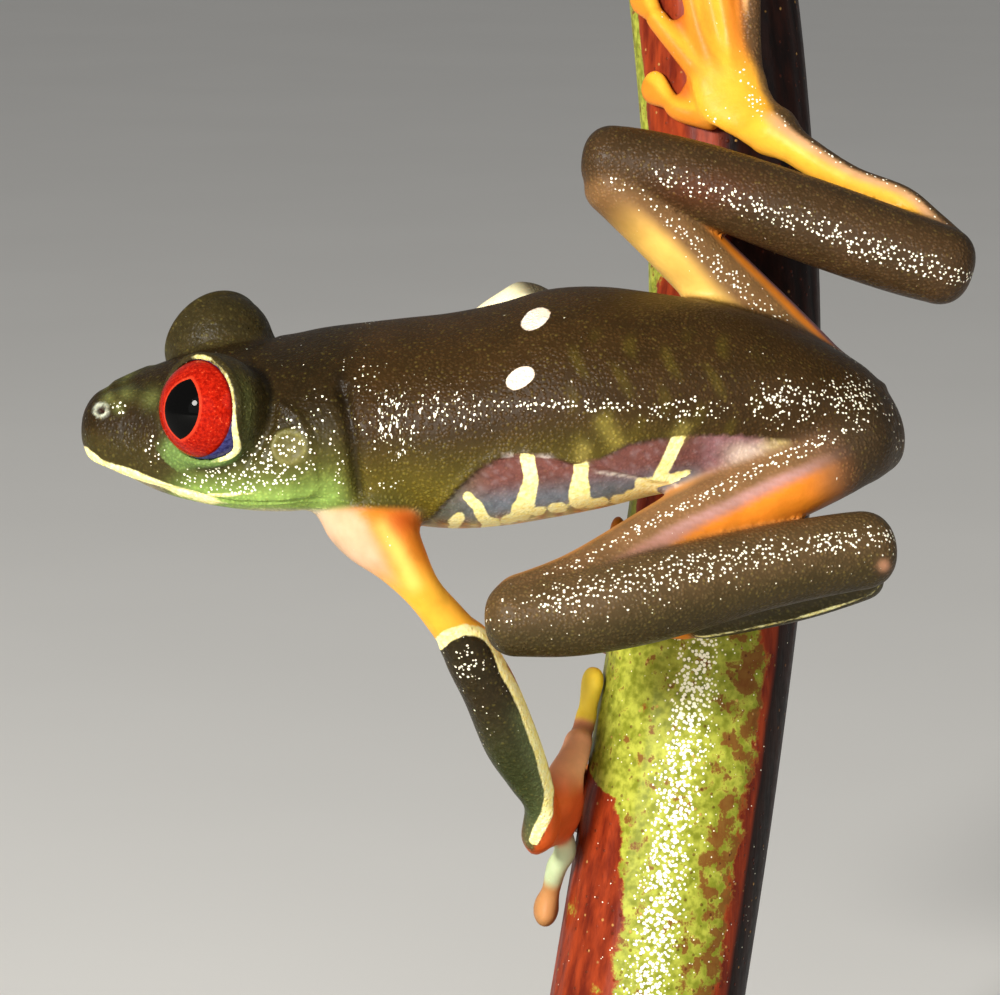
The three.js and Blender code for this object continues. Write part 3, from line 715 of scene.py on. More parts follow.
BACK, FLANK, HEAD_TOP, LOREAL = (68, 47, 20), (106, 92, 28), (46, 33, 12), (64, 54, 20)
JAW_GREEN, LID_GREEN, CREAM = (164, 196, 96), (120, 148, 76), (250, 240, 196)
BELLY, THROAT, VENT, BROWN = (244, 188, 112), (240, 226, 186), (76, 58, 36), (112, 82, 52)
PURPLE, BLUISH, MAUVE, PINK = (120, 74, 66), (118, 126, 134), (208, 184, 166), (168, 118, 104)
ORANGE, YELLOW_ORANGE, RED_ORANGE = (226, 130, 34), (250, 182, 58), (206, 86, 34)
PALE_ARM, TOE_YELLOW = (212, 172, 138), (240, 168, 48)

PATCH = [
    [428, 522], [442, 505], [458, 487], [476, 469], [497, 457], [522, 452], [548, 454], [572, 461],
    [600, 458], [628, 444], [660, 438], [700, 435], [745, 436], [790, 440], [802, 470], [760, 500],
    [700, 498], [640, 498], [600, 506], [540, 514], [480, 524],
]
# The flank's cream bars: half width in pixels, and line
BARS = [
    (5.8, [[468, 497], [477, 506], [482, 516], [488, 524]]), (7.6, [[526, 448], [531, 480], [524, 506]]),
    (8.8, [[582, 452], [579, 498]]), (6.0, [[682, 430], [665, 466], [656, 482]]),
    (8.0, [[642, 484], [670, 482], [690, 480]]), (5.6, [[630, 495], [660, 492]]),
    (9.0, [[524, 508], [522, 510]]), (6.0, [[453, 524], [459, 518]]), (5.0, [[486, 527], [496, 523]]),
    (4.6, [[506, 520], [516, 517]]), (4.4, [[536, 512], [541, 511]]), (5.2, [[553, 508], [562, 507]]),
    (4.6, [[590, 504], [604, 502]]), (4.8, [[616, 500], [628, 498]]),
]
BAR_TOPS = ([[584, 448], [582, 456]], [[684, 428], [678, 438]])
PATCH_SHINES = ([[500, 456], [525, 453], [556, 457]], [[588, 471], [622, 475], [655, 481], [692, 488]])
BELLY_EDGE = [[432, 529], [470, 529], [520, 520], [570, 513], [620, 507], [660, 502]]
JAW_LINE = [[190, 500], [230, 505], [285, 504], [326, 498]]
THROAT_LINE = [80, 100, 140, 180, 215, 330, 380], [458, 468, 484, 499, 509, 509, 508]
LIP = [[84, 451], [100, 464], [140, 478], [180, 493], [214, 502], [232, 505]]
SPOTS = [[535, 319], [520, 378]]
SNOUT_FLECKS = (([152, 398], 0.8), ([127, 392], 0.6), ([108, 398], 0.5), ([118, 408], 0.4))
# Where wet granules glint in the photographer's flash, and where they run together: place, size, amount
GLINTS = (
    ([388, 430], [38, 44], 0.45), ([450, 408], [52, 18], 0.6), ([570, 405], [84, 7], 1.3),
    ([680, 410], [54, 13], 1.1), ([785, 402], [38, 24], 1.35), ([848, 400], [32, 24], 1.35),
    ([362, 372], [26, 26], 0.4), ([236, 480], [58, 14], 1.7), ([268, 464], [42, 26], 1.3),
    ([296, 448], [26, 38], 0.8), ([322, 430], [16, 44], 0.6), ([152, 450], [11, 20], 0.9),
    ([118, 408], [14, 8], 1.1), ([388, 485], [22, 12], 0.6), ([340, 470], [10, 28], 0.6),
    ([600, 400], [330, 34], 0.14), ([892, 430], [14, 50], 0.5),
)
# Painted highlights that run into upright streaks: place, size, amount
GLINT_STREAKS = (([388, 424], [34, 42], 1.0), ([455, 408], [54, 22], 0.95), ([365, 385], [20, 28], 0.5))


def patches(pixels, rows):
    """The strongest of several soft-edged oval patches at each place."""
    most = np.zeros(len(pixels))
    for place, size, amount in rows:
        spread = (((pixels - place) / np.array(size)) ** 2).sum(axis=1)
        most = np.maximum(most, amount * np.exp(-(spread**2)))
    return most


def body_paint(points, body, normals):
    """Colour, cream, white, painted glint, grain and painted glint streak of the head and trunk."""
    flat, own = left_view(body), seen(points)
    (x, y, z), (u, v) = body.T, flat.T
    n = len(x)
    level, width, above, below = body_section(x)
    over = z - level
    rise = np.degrees(np.arctan2(over / np.where(over > 0, above, below), np.abs(y) / width))
    coat = Coat(n, BACK).lay(FLANK, ramp(26, -16, rise) * ramp(14, 3, x))
    bands = np.sin((u + 9 * np.sin(v / 17)) * 2 * np.pi / 37) * np.sin(u / 29 - v / 13)
    area = ramp(548, 580, u) * ramp(770, 730, u) * ramp(320, 350, v)
    coat.lay(FLANK, ramp(0.1, 1, bands) * area * 0.4)
    fork = from_line(flat, [[604, 424], [622, 452], [640, 478]])[0]
    coat.lay((170, 150, 66), bell(fork, 9) * (x > 0) * 0.7)
    on_head = ramp(-13, -16, x)
    coat.lay(HEAD_TOP, on_head * ramp(5, 40, rise) * 0.9)
    coat.lay(LOREAL, on_head * ramp(40, 10, rise) * ramp(-21, -26, x) * 0.9)
    coat.lay(BELLY, ramp(-44, -54, rise) * (x > -14))
    coat.lay(VENT, ramp(21.5, 24, x))
    grain = 0.3 + 0.25 * on_head + 0.7 * ramp(-34, -50, rise) + 0.7 * ramp(22, 24, x)
    # The flank's thin skin, its bars, and the beaded edge of the belly
    inside = np.where(x > -12, inside_outline(flat, PATCH) / SCALE, -1)
    thin_skin = Coat(n, PURPLE).lay(BLUISH, ramp(474, 502, v + 0.12 * (u - 540)))
    thin_skin.lay((104, 104, 84), ramp(500, 440, u) * 0.85)
    thin_skin.lay((150, 104, 106), ramp(690, 715, u))
    thin_skin.lay(MAUVE, ramp(712, 744, u) * ramp(436, 452, v))
    thin_skin.lay((176, 160, 76), ramp(752, 780, u) * 0.7)
    thin = ramp(-0.05, 0.12, inside)
    coat.lay(thin_skin, thin)
    upper = v < np.interp(u, [430, 480, 600, 700, 800], [540, 500, 480, 460, 446])
    # Painted shade: a dark line just under the fold along the thin skin's upper edge
    coat.lay((52, 40, 26), bell(inside - 0.06, 0.12) * upper * ramp(740, 640, u) * 0.7)
    top = np.minimum(*(from_line(flat, line)[0] for line in BAR_TOPS))
    coat.lay((176, 156, 76), bell(top, 7) * (x > 0) * 0.7)
    for line in PATCH_SHINES:
        gap, along = from_line(flat, line)
        shine = bell(gap, 1.3) * ramp(0, 0.2, along) * ramp(1, 0.8, along)
        coat.lay((236, 222, 208), shine * (x > -12) * 0.85)
    vein = np.sin(u / 2.3 + 3 * np.sin(v / 5.1)) * np.sin(v / 3.7 + 2 * np.sin(u / 8.3))
    coat.lay((64, 40, 44), thin * ramp(0.35, 0.9, vein) * 0.35)
    coat.lay((168, 150, 152), thin * ramp(-0.35, -0.9, vein) * 0.25)
    beads = bell(from_line(flat, BELLY_EDGE)[0] / SCALE, 0.5) * (x > -13)
    scallop = 0.5 + 0.5 * np.sin(u / 3.1 + 0.6 * np.sin(u / 11))
    coat.lay(Coat(n, (236, 164, 84)).lay((252, 232, 156), scallop), beads * 0.9)
    grain = np.maximum(grain * (1 - 0.6 * thin), beads)
    cream = np.full(n, -1.0)
    for half, line in BARS:
        gap, along = from_line(flat, line)
        half = half * (1 + (half > 6) * (0.26 * ramp(0.45, 1, along) - 0.12 * bell(along - 0.45, 0.2)))
        cream = np.maximum(cream, np.where(x > -12, (half - gap) / SCALE, -1))
    cream = np.where(upper & (x > -12), np.minimum(cream, inside - 0.02), cream)
    # The head: jaw, lip, ear drum, nostril and the patches of the snout
    jaw = from_line(flat, JAW_LINE)[0] / SCALE
    coat.lay((108, 114, 50), on_head * bell(jaw, 3.5) * ramp(-28, -25, x) * 0.75)
    coat.lay(JAW_GREEN, on_head * bell(jaw, 1.4))
    drum, nose = from_spot(flat, TYMPANUM), from_spot(flat, NOSTRIL)
    coat.lay((138, 130, 64), on_head * ramp(1.5, 1.0, drum) * 0.45)
    coat.lay((170, 164, 96), on_head * bell(drum - 1.15, 0.16) * 0.45)
    for place, size in SNOUT_FLECKS:
        coat.lay((130, 134, 72), on_head * bell(from_spot(flat, place), size) * 0.6)
    coat.lay((226, 230, 206), on_head * bell(nose - 0.42, 0.11))
    # Painted shade: the nostril's opening is darkened
    coat.lay((52, 18, 10), on_head * ramp(0.32, 0.2, nose))
    throat = ramp(-1.5, 2.5, v - np.interp(u, *THROAT_LINE))
    coat.lay(THROAT, throat * ramp(-9, -13, x) * ramp(-10, -30, rise))
    grain *= 1 - 0.5 * throat * on_head
    gap, along = from_line(flat, LIP)
    lip = 5.2 - 6.8 * np.abs(along - 0.35) ** 1.5 - 2.4 * ramp(0.8, 1, along) - gap
    gap, along = from_line(flat, [[208, 496], [250, 494], [276, 490]])
    cream = np.maximum(cream, np.where(x < -14, np.maximum(lip, 1.5 - 1.4 * along - gap) / SCALE, -1))
    # The lids
    reach, outside, turn = lid_place(body)
    near = (x < -17) & (reach < 5.2) & (reach > SOCKET_RADIUS - 0.1)
    dome = near * ramp(4.9, 4.2, reach)
    coat.lay((66, 56, 28), dome * 0.85)
    coat.lay((92, 96, 50), dome * bell(outside - 1.1, 0.7) * ramp(20, 60, turn) * (turn < 150) * 0.6)
    turn = (turn + 360) % 360
    snoutward = ramp(190, 235, turn)
    wide = 0.8 - 0.85 * snoutward
    lower_lid = near * ramp(105, 140, turn) * ramp(330, 285, turn) * ramp(wide + 0.05, wide - 0.4, outside)
    coat.lay(LID_GREEN, lower_lid * (1 - 0.35 * snoutward))
    grain *= 1 - 0.6 * lower_lid
    rim = 0.02 - 0.24 * ramp(140, 170, turn) * ramp(345, 320, turn) + 0.42 * bell(turn - 112, 19)
    cream = np.maximum(cream, np.where(near & (reach < 4.6), rim - np.abs(outside - 0.02), -1))
    # Creases hold shade
    coat.lay((34, 24, 10), bell(from_line(flat, SHOULDER_CREASE)[0] / SCALE, 0.5) * 0.75)
    # White spots on the back, only where they show
    white = np.full(n, -1.0)
    for place in SPOTS:
        a = (own - place) @ np.array([0.86, -0.51]) / 15
        b = (own - place) @ np.array([0.51, 0.86]) / 9.5
        size = (1 - np.hypot(a, b)) * 9.5 / SCALE
        white = np.maximum(white, np.where((normals[:, 1] < 0.35) & (x > -14), size, -1))
    glint = patches(flat, GLINTS) * (reach > 4.3) * (1 - thin)
    return coat.tone, cream, white, glint, grain, patches(flat, GLINT_STREAKS) * (x > -13)


CUFF = [[437, 646], [447, 636], [464, 629], [480, 632], [497, 642]]
ARM_LINE = [
    [486, 634], [497, 648], [503, 668], [519, 698], [531, 728], [541, 758], [549, 790], [547, 814],
    [534, 840],
]


def arm_paint(own, normals):
    """The left arm: pale and orange above the cuff, and a dark sleeve with a cream line below it."""
    u, v = own.T
    n = len(u)
    gap = from_line(own, [[290, 500], [330, 526], [365, 566], [400, 606]])[0]
    coat = Coat(n, ORANGE).lay(YELLOW_ORANGE, ramp(550, 590, v))
    coat.lay(PALE_ARM, ramp(23, 11, gap - 10 * ramp(570, 520, v)) * ramp(600, 555, v))
    coat.lay((216, 150, 112), bell(gap - 22, 9) * ramp(590, 540, v) * 0.5)
    shine = from_line(own, [[384, 526], [398, 550], [414, 584]])[0]
    coat.lay((250, 210, 104), bell(shine, 9) * 0.75)
    # Painted shade: darker red-orange in the armpit, where the arm meets the body
    coat.lay((184, 74, 26), bell(from_spot(own, [404, 520], [1.4, 1.0]), 1.3) * 0.75)
    # The side of the chest, where the arm leaves it
    chest = Coat(n, (110, 134, 52)).lay((92, 84, 30), ramp(335, 360, u))
    coat.lay(chest, ramp(515, 503, v))
    # Below the cuff: the dark back of the forearm, and the orange inside beyond the cream line
    sleeve = v > np.interp(u, *zip(*CUFF))
    dark = Coat(n, (54, 44, 24)).lay((76, 84, 48), ramp(700, 800, v) * 0.8)
    line = from_line(own, ARM_LINE)[0]
    right = u > np.interp(v, *list(zip(*ARM_LINE))[::-1])
    dark.lay((120, 132, 84), bell(line, 13) * ~right * ramp(690, 730, v) * 0.7)
    dark.lay(RED_ORANGE, np.maximum(np.where(right, ramp(3, 7, line), 0), ramp(0.25, 0.6, normals[:, 1])))
    coat.lay(dark, sleeve * 1.0)
    cream = np.where((normals[:, 1] < 0.45) & sleeve, (5.2 - line) / SCALE, -1)
    cream = np.maximum(cream, (5.6 - from_line(own, CUFF)[0]) / SCALE)
    knuckles = bell(from_spot(own, [466, 664], [1, 1.1]), 1.3)
    down = bell(from_spot(own, [485, 704], [1, 2.4]), 1.8)
    glint = 0.6 * bell(from_spot(own, [388, 545], [1, 2.2]), 0.5)
    glint = np.maximum(glint, sleeve * np.maximum(1.2 * knuckles, 0.3 * down))
    return coat, cream, glint, 0.3 + 0.3 * sleeve


def limb_paint(name, points, normals, share, around):
    """Colours of one limb; around is 0 facing the camera, 90 upwards, -90 downwards."""
    n, own = len(points), seen(points)
    u, v = own.T
    turn = np.abs(around)
    cream, glint, grain = np.full(n, -1.0), np.zeros(n), np.full(n, 0.3)
    if name in ("upper_arm_left", "forearm_left"):
        coat, cream, glint, grain = arm_paint(own, normals)
    elif name == "thigh_left":
        coat = Coat(n, BROWN).lay((134, 97, 62), ramp(1.0, 0.6, share))
        coat.lay((190, 128, 66), ramp(56, 84, around))
        coat.lay(PINK, ramp(12, -1, around) * ramp(0.95, 0.75, share))
        coat.lay((190, 148, 144), bell(around - 1, 6) * ramp(0.7, 0.5, share) * 0.5)
        orange_from = -12 - 14 * ramp(0.45, 0.75, share) + 4 * ramp(0.4, 0.1, share)
        coat.lay(ORANGE, ramp(7, -7, around - orange_from) * ramp(0.85, 0.7, share))
        coat.lay((124, 88, 64), ramp(0.22, 0.09, share) * 0.8).lay(VENT, ramp(0.12, 0.03, share))
        coat.lay(ORANGE, ramp(130, 150, turn))
        # Painted highlight: a thin light line on the thigh's lower fold, where it meets the shank, laid in
        # the cream channel
        cream = (1.3 - from_line(own, [[580, 566], [615, 558], [653, 548]])[0]) / SCALE - 0.02
        glint = 1.5 * np.exp(-np.abs((around - 27 - 7 * share) / 10) ** 3) * ramp(1.0, 0.9, share)
    elif name == "shank_left":
        coat = Coat(n, (102, 79, 49)).lay((66, 56, 28), ramp(6, -46, around) * 0.8)
        coat.lay(ORANGE, ramp(125, 150, turn)).lay((196, 140, 108), bell(from_spot(own, [884, 566]), 0.45))
        band = np.exp(-np.abs((around - 20 + 6 * share) / (27 - 11 * share)) ** 3) * ramp(0.0, 0.08, share)
        glint = np.maximum((1.1 + 0.5 * share) * band, 0.4 * bell(around - 2, 40))
    elif name == "tarsus_left":
        coat = Coat(n, (76, 68, 44)).lay(ORANGE, ramp(120, 150, turn))
        cream = (3 - np.abs(around + 78)) * 0.02
    elif name == "thigh_right":
        coat = Coat(n, (132, 96, 58)).lay((236, 186, 92), ramp(-14, -42, around) * ramp(1.0, 0.75, share))
        coat.lay(ORANGE, ramp(26, 40, around)).lay((140, 88, 88), ramp(46, 60, around))
        coat.lay(ORANGE, ramp(110, 130, turn))
        glint = 0.8 * bell(around + 2, 16) + 0.2 * bell(around, 45)
    elif name == "shank_right":
        coat = Coat(n, (80, 58, 34)).lay((60, 46, 26), ramp(10, 60, around) * 0.6)
        coat.lay((112, 52, 28), bell(from_spot(own, [700, 190], [2.6, 1.0]), 1.3) * 0.5)
        coat.lay(ORANGE, ramp(125, 150, turn))
        glint = (0.7 + 0.9 * share) * np.exp(-np.abs((around + 22) / 18) ** 3) * ramp(0.04, 0.16, share)
    elif name == "tarsus_right":
        coat = Coat(n, (92, 68, 42)).lay((212, 160, 112), ramp(46, 24, around))
        coat.lay(YELLOW_ORANGE, ramp(16, -12, around)).lay(YELLOW_ORANGE, ramp(110, 130, turn))
        glint = 0.7 * bell(around - 34, 16)
    elif name in ("upper_arm_right", "forearm_right"):
        dusk = ramp(505, 535, u - 0.9 * (v - 290))
        coat = Coat(n, CREAM).lay((104, 94, 74), dusk * ramp(0.2, 0.5, normals[:, 2]))
    elif name == "finger_left_4":
        coat = Coat(n, (192, 204, 160)).lay((180, 126, 76), ramp(0.5, 0.68, share))
    elif name in ("palm_left", "thenar_left", "finger_left_1"):
        coat = Coat(n, (240, 164, 118)).lay((212, 94, 44), ramp(765, 800, v))
        if name == "thenar_left":
            coat.lay((244, 176, 136), ramp(0.2, 0.6, share) * 0.8)
        elif name == "finger_left_1":
            coat.lay((110, 44, 22), bell(share - 0.34, 0.15) * 0.95)
            coat.lay((255, 220, 72), ramp(0.48, 0.58, share))
    elif "finger_left" in name:
        coat = Coat(n, (206, 112, 54))
    elif name == "sole_right":
        right = u - np.interp(v, [0, 40, 90, 140], [738, 748, 760, 790])
        coat = Coat(n, TOE_YELLOW).lay((110, 82, 52), ramp(-3, 4, right) * 0.9)
        shine = bell(from_spot(own, [708, 118], [1.6, 1.0]), 0.9)
        glint = np.maximum(0.7 * bell((right + 12) / SCALE, 0.7), 0.9 * shine)
    elif name == "toe_right_5":
        coat = Coat(n, (98, 74, 48)).lay(YELLOW_ORANGE, ramp(-10, -50, normals[:, 0] * 90))
    elif name.startswith("web_toe_right"):
        # Painted shade: the webs darken towards their free edges, in the gaps between the toes
        coat = Coat(n, (214, 120, 34)).lay((150, 46, 20), ramp(0.55, 1.0, share) * 0.6)
        glint = 0.3 * bell(around - 20, 25)
    elif name.startswith("toe_right"):
        # Painted shade: deeper orange on the toes' sides, between the toes
        coat = Coat(n, TOE_YELLOW).lay((206, 96, 26), 0.6 * ramp(55, 85, turn))
        glint = 0.3 * bell(around - 20, 25)
    else:
        coat = Coat(n, ORANGE)
    grain = grain * ramp(0.2, 0.06, coat.tone.mean(axis=1))
    return coat.tone, cream, np.full(n, -1.0), glint, grain, np.zeros(n)


PART_REACH, PART_SOFTNESS = 1.2, 0.22  # millimetres over which the colours of two parts blend


def paint(points, body, normals):
    """Every attribute of the skin, blended between neighbouring parts by nearness."""
    n = len(points)
    gaps, inside = {"body": body_field(body)}, {}
    for name, sweep in sweeps.items():
        close = np.flatnonzero(sweep.near(points))
        gap, share, across, over = sweep.measure(points[close])
        toward = across * (1 if sweep.side[24, 1] < 0 else -1)
        inside[name] = (close, share, np.degrees(np.arctan2(over, toward)))
        gaps[name] = np.full(n, FAR)
        gaps[name][close] = gap
    nearest = np.min(list(gaps.values()), axis=0)
    total, sums = np.zeros(n), [np.zeros((n, 3))] + [np.zeros(n) for _ in range(5)]
    for name, gap in gaps.items():
        here = np.flatnonzero(gap < nearest + PART_REACH)
        weight = np.exp(-(gap[here] - nearest[here]) / PART_SOFTNESS)
        if name == "body":
            values = body_paint(points[here], body[here], normals[here])
        else:
            close, share, around = inside[name]
            spot = np.searchsorted(close, here)
            values = limb_paint(name, points[here], normals[here], share[spot], around[spot])
        total[here] += weight
        for store, value in zip(sums, values):
            store[here] += (value.T * weight).T
    return [(store.T / total).T for store in sums], gaps["body"] <= nearest + 0.3


# ---- Pieces ----


def new_mesh(name, verts, faces):
    """A mesh object in metres from points in millimetres of the part frame."""
    mesh = bpy.data.meshes.new(name)
    mesh.vertices.add(len(verts))
    mesh.vertices.foreach_set("co", (verts * MM).astype(np.float32).ravel())
    mesh.loops.add(faces.size)
    mesh.loops.foreach_set("vertex_index", faces.astype(np.int32).ravel())
    mesh.polygons.add(len(faces))
    mesh.polygons.foreach_set("loop_start", np.arange(0, faces.size, faces.shape[1], dtype=np.int32))
    mesh.update(calc_edges=True)
    mesh.validate()
    return linked(name, mesh)


def linked(name, data):
    thing = bpy.data.objects.new(name, data)
    bpy.context.collection.objects.link(thing)
    return thing


def new_piece(name, verts, faces, material, slot, **floats):
    """A smooth piece of the object, with a float attribute for each further value."""
    piece = new_mesh(name, verts, faces)
    piece.data.shade_smooth()
    for key, values in floats.items():
        layer = piece.data.attributes.new(key, "FLOAT", "POINT")
        layer.data.foreach_set("value", np.asarray(values, dtype=np.float32))
    piece.data.materials.append(material)
    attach(piece, "root")
    return piece


def ring_faces(rings, sectors, first=None, last=None):
    """Triangles between rings of points, one after another, with fans to a pole at either end."""
    i, j = (part.ravel() for part in np.indices((rings - 1, sectors)))
    k = (j + 1) % sectors
    a, b, c, d = i * sectors + j, i * sectors + k, (i + 1) * sectors + k, (i + 1) * sectors + j
    faces = [[a, b, c], [a, c, d]]
    j = np.arange(sectors)
    k, inner = (j + 1) % sectors, (rings - 1) * sectors
    if first is not None:
        faces.append([k, j, 0 * j + first])
    if last is not None:
        faces.append([inner + j, inner + k, 0 * j + last])
    return np.vstack([np.stack(corners, axis=1) for corners in faces])


# ---- Materials ----


class Term:
    """A shader socket, with which sums, differences and products can be written."""

    def __init__(self, shader, socket):
        self.shader, self.socket = shader, socket

    def __add__(self, other):
        return self.shader.math("ADD", self, other)

    def __sub__(self, other):
        return self.shader.math("SUBTRACT", self, other)

    def __rsub__(self, other):
        return self.shader.math("SUBTRACT", other, self)

    def __mul__(self, other):
        return self.shader.math("MULTIPLY", self, other)

    def __gt__(self, other):
        return self.shader.math("GREATER_THAN", self, other)


class Shader:
    """A small helper that builds a node material, laying colours over one another."""

    def __init__(self, name):
        self.material = bpy.data.materials.new(name)
        self.material.use_nodes = True
        self.tree = self.material.node_tree
        self.surface = next(n for n in self.tree.nodes if n.type == "BSDF_PRINCIPLED")
        self.colour = None

    def put(self, socket, value):
        if isinstance(value, Term):
            self.tree.links.new(value.socket, socket)
        elif socket.type == "RGBA":
            socket.default_value = (*[float(v) for v in value], 1)
        else:
            socket.default_value = value

    def set(self, **inputs):
        for key, value in inputs.items():
            self.put(self.surface.inputs[key.replace("_", " ")], value)

    def node(self, kind, output, settings, **inputs):
        """The output of a new node; inputs are given by name, or by number as in_0."""
        node = self.tree.nodes.new("ShaderNode" + kind)
        for key, value in settings.items():
            setattr(node, key, value)
        for key, value in inputs.items():
            self.put(node.inputs[int(key[3:]) if key.startswith("in_") else key.replace("_", " ")], value)
        return Term(self, node.outputs[output])

    def math(self, operation, a, b):
        return self.node("Math", 0, {"operation": operation}, in_0=a, in_1=b)

    def step(self, value, low, high):
        smooth = {"interpolation_type": "SMOOTHSTEP"}
        return self.node("MapRange", 0, smooth, Value=value, From_Min=low, From_Max=high)

    def mix(self, share, a, b, mode="MIX"):
        return self.node("Mix", 2, {"data_type": "RGBA", "blend_type": mode}, in_0=share, in_6=a, in_7=b)

    def between(self, value, low, high, a, b):
        """A colour that goes from a to b as a value goes from low to high; a and b are in sRGB."""
        return self.mix(self.step(value, low, high), srgb(*a), srgb(*b))

    def lay(self, share, colour):
        new = srgb(*colour) if isinstance(colour, tuple) else colour
        self.colour = self.mix(share, self.colour, new)

    def attribute(self, name, output="Fac"):
        return self.node("Attribute", output, {"attribute_name": name})

    def place(self, stretch=(1, 1, 1)):
        return self.node("Mapping", 0, {}, Vector=self.node("TexCoord", "Object", {}), Scale=stretch)

    def noise(self, place, scale, detail=3.0, rough=0.5, output="Fac"):
        inputs = {"Vector": place, "Scale": scale, "Detail": detail, "Roughness": rough}
        return self.node("TexNoise", output, {}, **inputs)

    def cells(self, place, scale, jitter=1.0):
        """The distance from the nearest point of a scatter, and three random numbers of that point."""
        near = self.node("TexVoronoi", "Distance", {}, Vector=place, Scale=scale, Randomness=jitter)
        colour = Term(self, near.socket.node.outputs["Color"])
        split = self.node("SeparateColor", 0, {}, Color=colour)
        return near, [Term(self, channel) for channel in split.socket.node.outputs]

    def bump(self, height, strength, depth):
        return self.node("Bump", 0, {}, Height=height, Strength=strength, Distance=depth)

    def finished(self, **inputs):
        self.set(Base_Color=self.colour, **inputs)
        return self.material


def skin_material():
    m = Shader("frog_skin")
    where = m.place()
    broad, fine = m.noise(where, 420.0, 4.0), m.noise(where, 2600.0)
    wobble = (broad - 0.5) * 0.36 + (fine - 0.5) * 0.12
    warp = m.noise(where, 1800.0, 2.0, output="Color")
    bent = m.node("Mix", 1, {"data_type": "VECTOR"}, in_0=0.00022, in_4=where, in_5=warp)
    (small, chance), (large, _) = m.cells(bent, 3500.0, 0.88), m.cells(where, 1500.0)
    grain = m.attribute("grain")
    rough_skin = m.step(grain, 0.0, 0.28)
    small_bead, large_bead = m.step(small, 0.62, 0.1), m.step(large, 0.62, 0.1)
    bead_size = {"in_0": m.step(grain, 0.3, 0.9), "in_2": small_bead, "in_3": large_bead}
    bead = m.node("Mix", 0, {"data_type": "FLOAT"}, **bead_size)
    m.colour = m.attribute("tone", "Color")
    # Painted shade in the gaps between the granules
    m.lay((1.0 - bead) * (rough_skin * 0.4), (0, 0, 0))
    m.lay(m.step(broad, 0.35, 0.7) * 0.4, m.mix(1.0, m.colour, (0.5, 0.55, 0.45), "MULTIPLY"))
    m.lay((chance[2] > 0.86) * (small_bead * rough_skin) * 0.1, (170, 156, 70))
    # Cream markings, and the painted highlight line on the thigh, which shares their channel
    cream = m.step(m.attribute("cream") + wobble, -0.07, 0.08)
    m.lay(cream, m.between(fine, 0.3, 0.7, (250, 232, 138), (255, 248, 186)))
    white = m.step(m.attribute("white") + wobble, -0.03, 0.04)
    m.lay(white, m.between(broad, 0.3, 0.8, (246, 240, 222), (236, 206, 176)))
    # Painted highlights: granules that glint, and streaks of glint where they run together
    lit = m.step(m.attribute("glint") - chance[0], 0.0, 0.4) * 0.24
    lit = m.step(lit + (lit > 0.001) * 0.13 - small, 0.0, 0.07)
    streak_glint_noise = m.noise(m.place((1.0, 1.0, 0.42)), 4200.0, 1.5) + (broad - 0.5) * 0.25
    lit = m.math("MAXIMUM", lit, m.step(streak_glint_noise + m.attribute("streak") * 0.19, 0.79, 0.83))
    m.lay(lit, (252, 246, 222))
    height = bead * rough_skin * 0.8 + fine * 0.4 + lit * 0.4
    m.set(Subsurface_Weight=0.1, Subsurface_Radius=(1.0, 0.45, 0.22), Subsurface_Scale=0.0007)
    m.set(Roughness=fine * 0.22 + 0.3 - lit * 0.2, Specular_IOR_Level=0.13)
    return m.finished(Normal=m.bump(height, 0.5, 0.00012))


# ---- The skin as a piece ----

skin_points, skin_faces = skin_surface(0.34)
normals, body = vertex_normals(skin_points, skin_faces), perch_to_body(skin_points)
(tone, *floats), is_body = paint(skin_points, body, normals)
lift = np.where(is_body, body_relief(skin_points, body, normals), 0)
reach = np.linalg.norm(from_eye(body), axis=1)
lift *= np.where(body[:, 0] < -15, ramp(3.7, 4.3, reach), 1)
skin_points = perch_to_part(skin_points + lift[:, None] * normals)
floats = dict(zip(("cream", "white", "glint", "grain", "streak"), floats))
skin = new_piece("skin", skin_points, skin_faces, skin_material(), "skin", **floats)
layer = skin.data.attributes.new("tone", "FLOAT_COLOR", "POINT")
layer.data.foreach_set("color", np.hstack([tone, np.ones((len(tone), 1))]).astype(np.float32).ravel())
OTHER_NODES = ("eye_left", "eye_right", "perch_stem", "stand_base", "stand_rod")
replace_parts(skin, *[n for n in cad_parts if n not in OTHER_NODES])


# ---- Eyes ----


def eye_material():
    m = Shader("frog_eye")
    where, angle, pupil = m.place(), m.attribute("angle"), m.attribute("pupil")
    fine, (specks, _) = m.noise(where, 4600.0, 4.0, 0.6), m.cells(where, 4400.0)
    m.colour = m.between(fine, 0.3, 0.75, (128, 12, 4), (184, 34, 14))
    m.lay(m.step(specks, 0.35, 0.1) * m.step(fine, 0.48, 0.66) * 0.6, (240, 104, 58))
    # Painted shade: the iris darkens on its side towards the snout
    m.lay(m.step(m.attribute("behind"), -0.25, -0.9) * 0.75, (96, 26, 12))
    m.lay(m.step(pupil, -0.26, -0.1) * 0.5, (214, 70, 42))
    # Painted shade: a darker ring at the iris's edge
    m.lay(m.step(angle, IRIS_EDGE - 4.5, IRIS_EDGE) * 0.9, (90, 6, 4))
    blue = m.between(fine, 0.3, 0.7, (40, 40, 84), (72, 72, 128))
    m.lay(m.step(angle + fine * 0.6, IRIS_EDGE, IRIS_EDGE + 1.0), blue)
    m.colour = m.mix(m.step(pupil, -0.035, 0.02), m.colour, (0.002, 0.002, 0.002))
    m.set(Roughness=0.5, Specular_IOR_Level=0.0, Coat_Weight=1.0, Coat_Roughness=0.03, Coat_IOR=1.13)
    return m.finished(Normal=m.bump(fine, 0.25, 0.00006))


PUPIL_HALF_WIDTH, PUPIL_HALF_HEIGHT = 1.5, 2.2


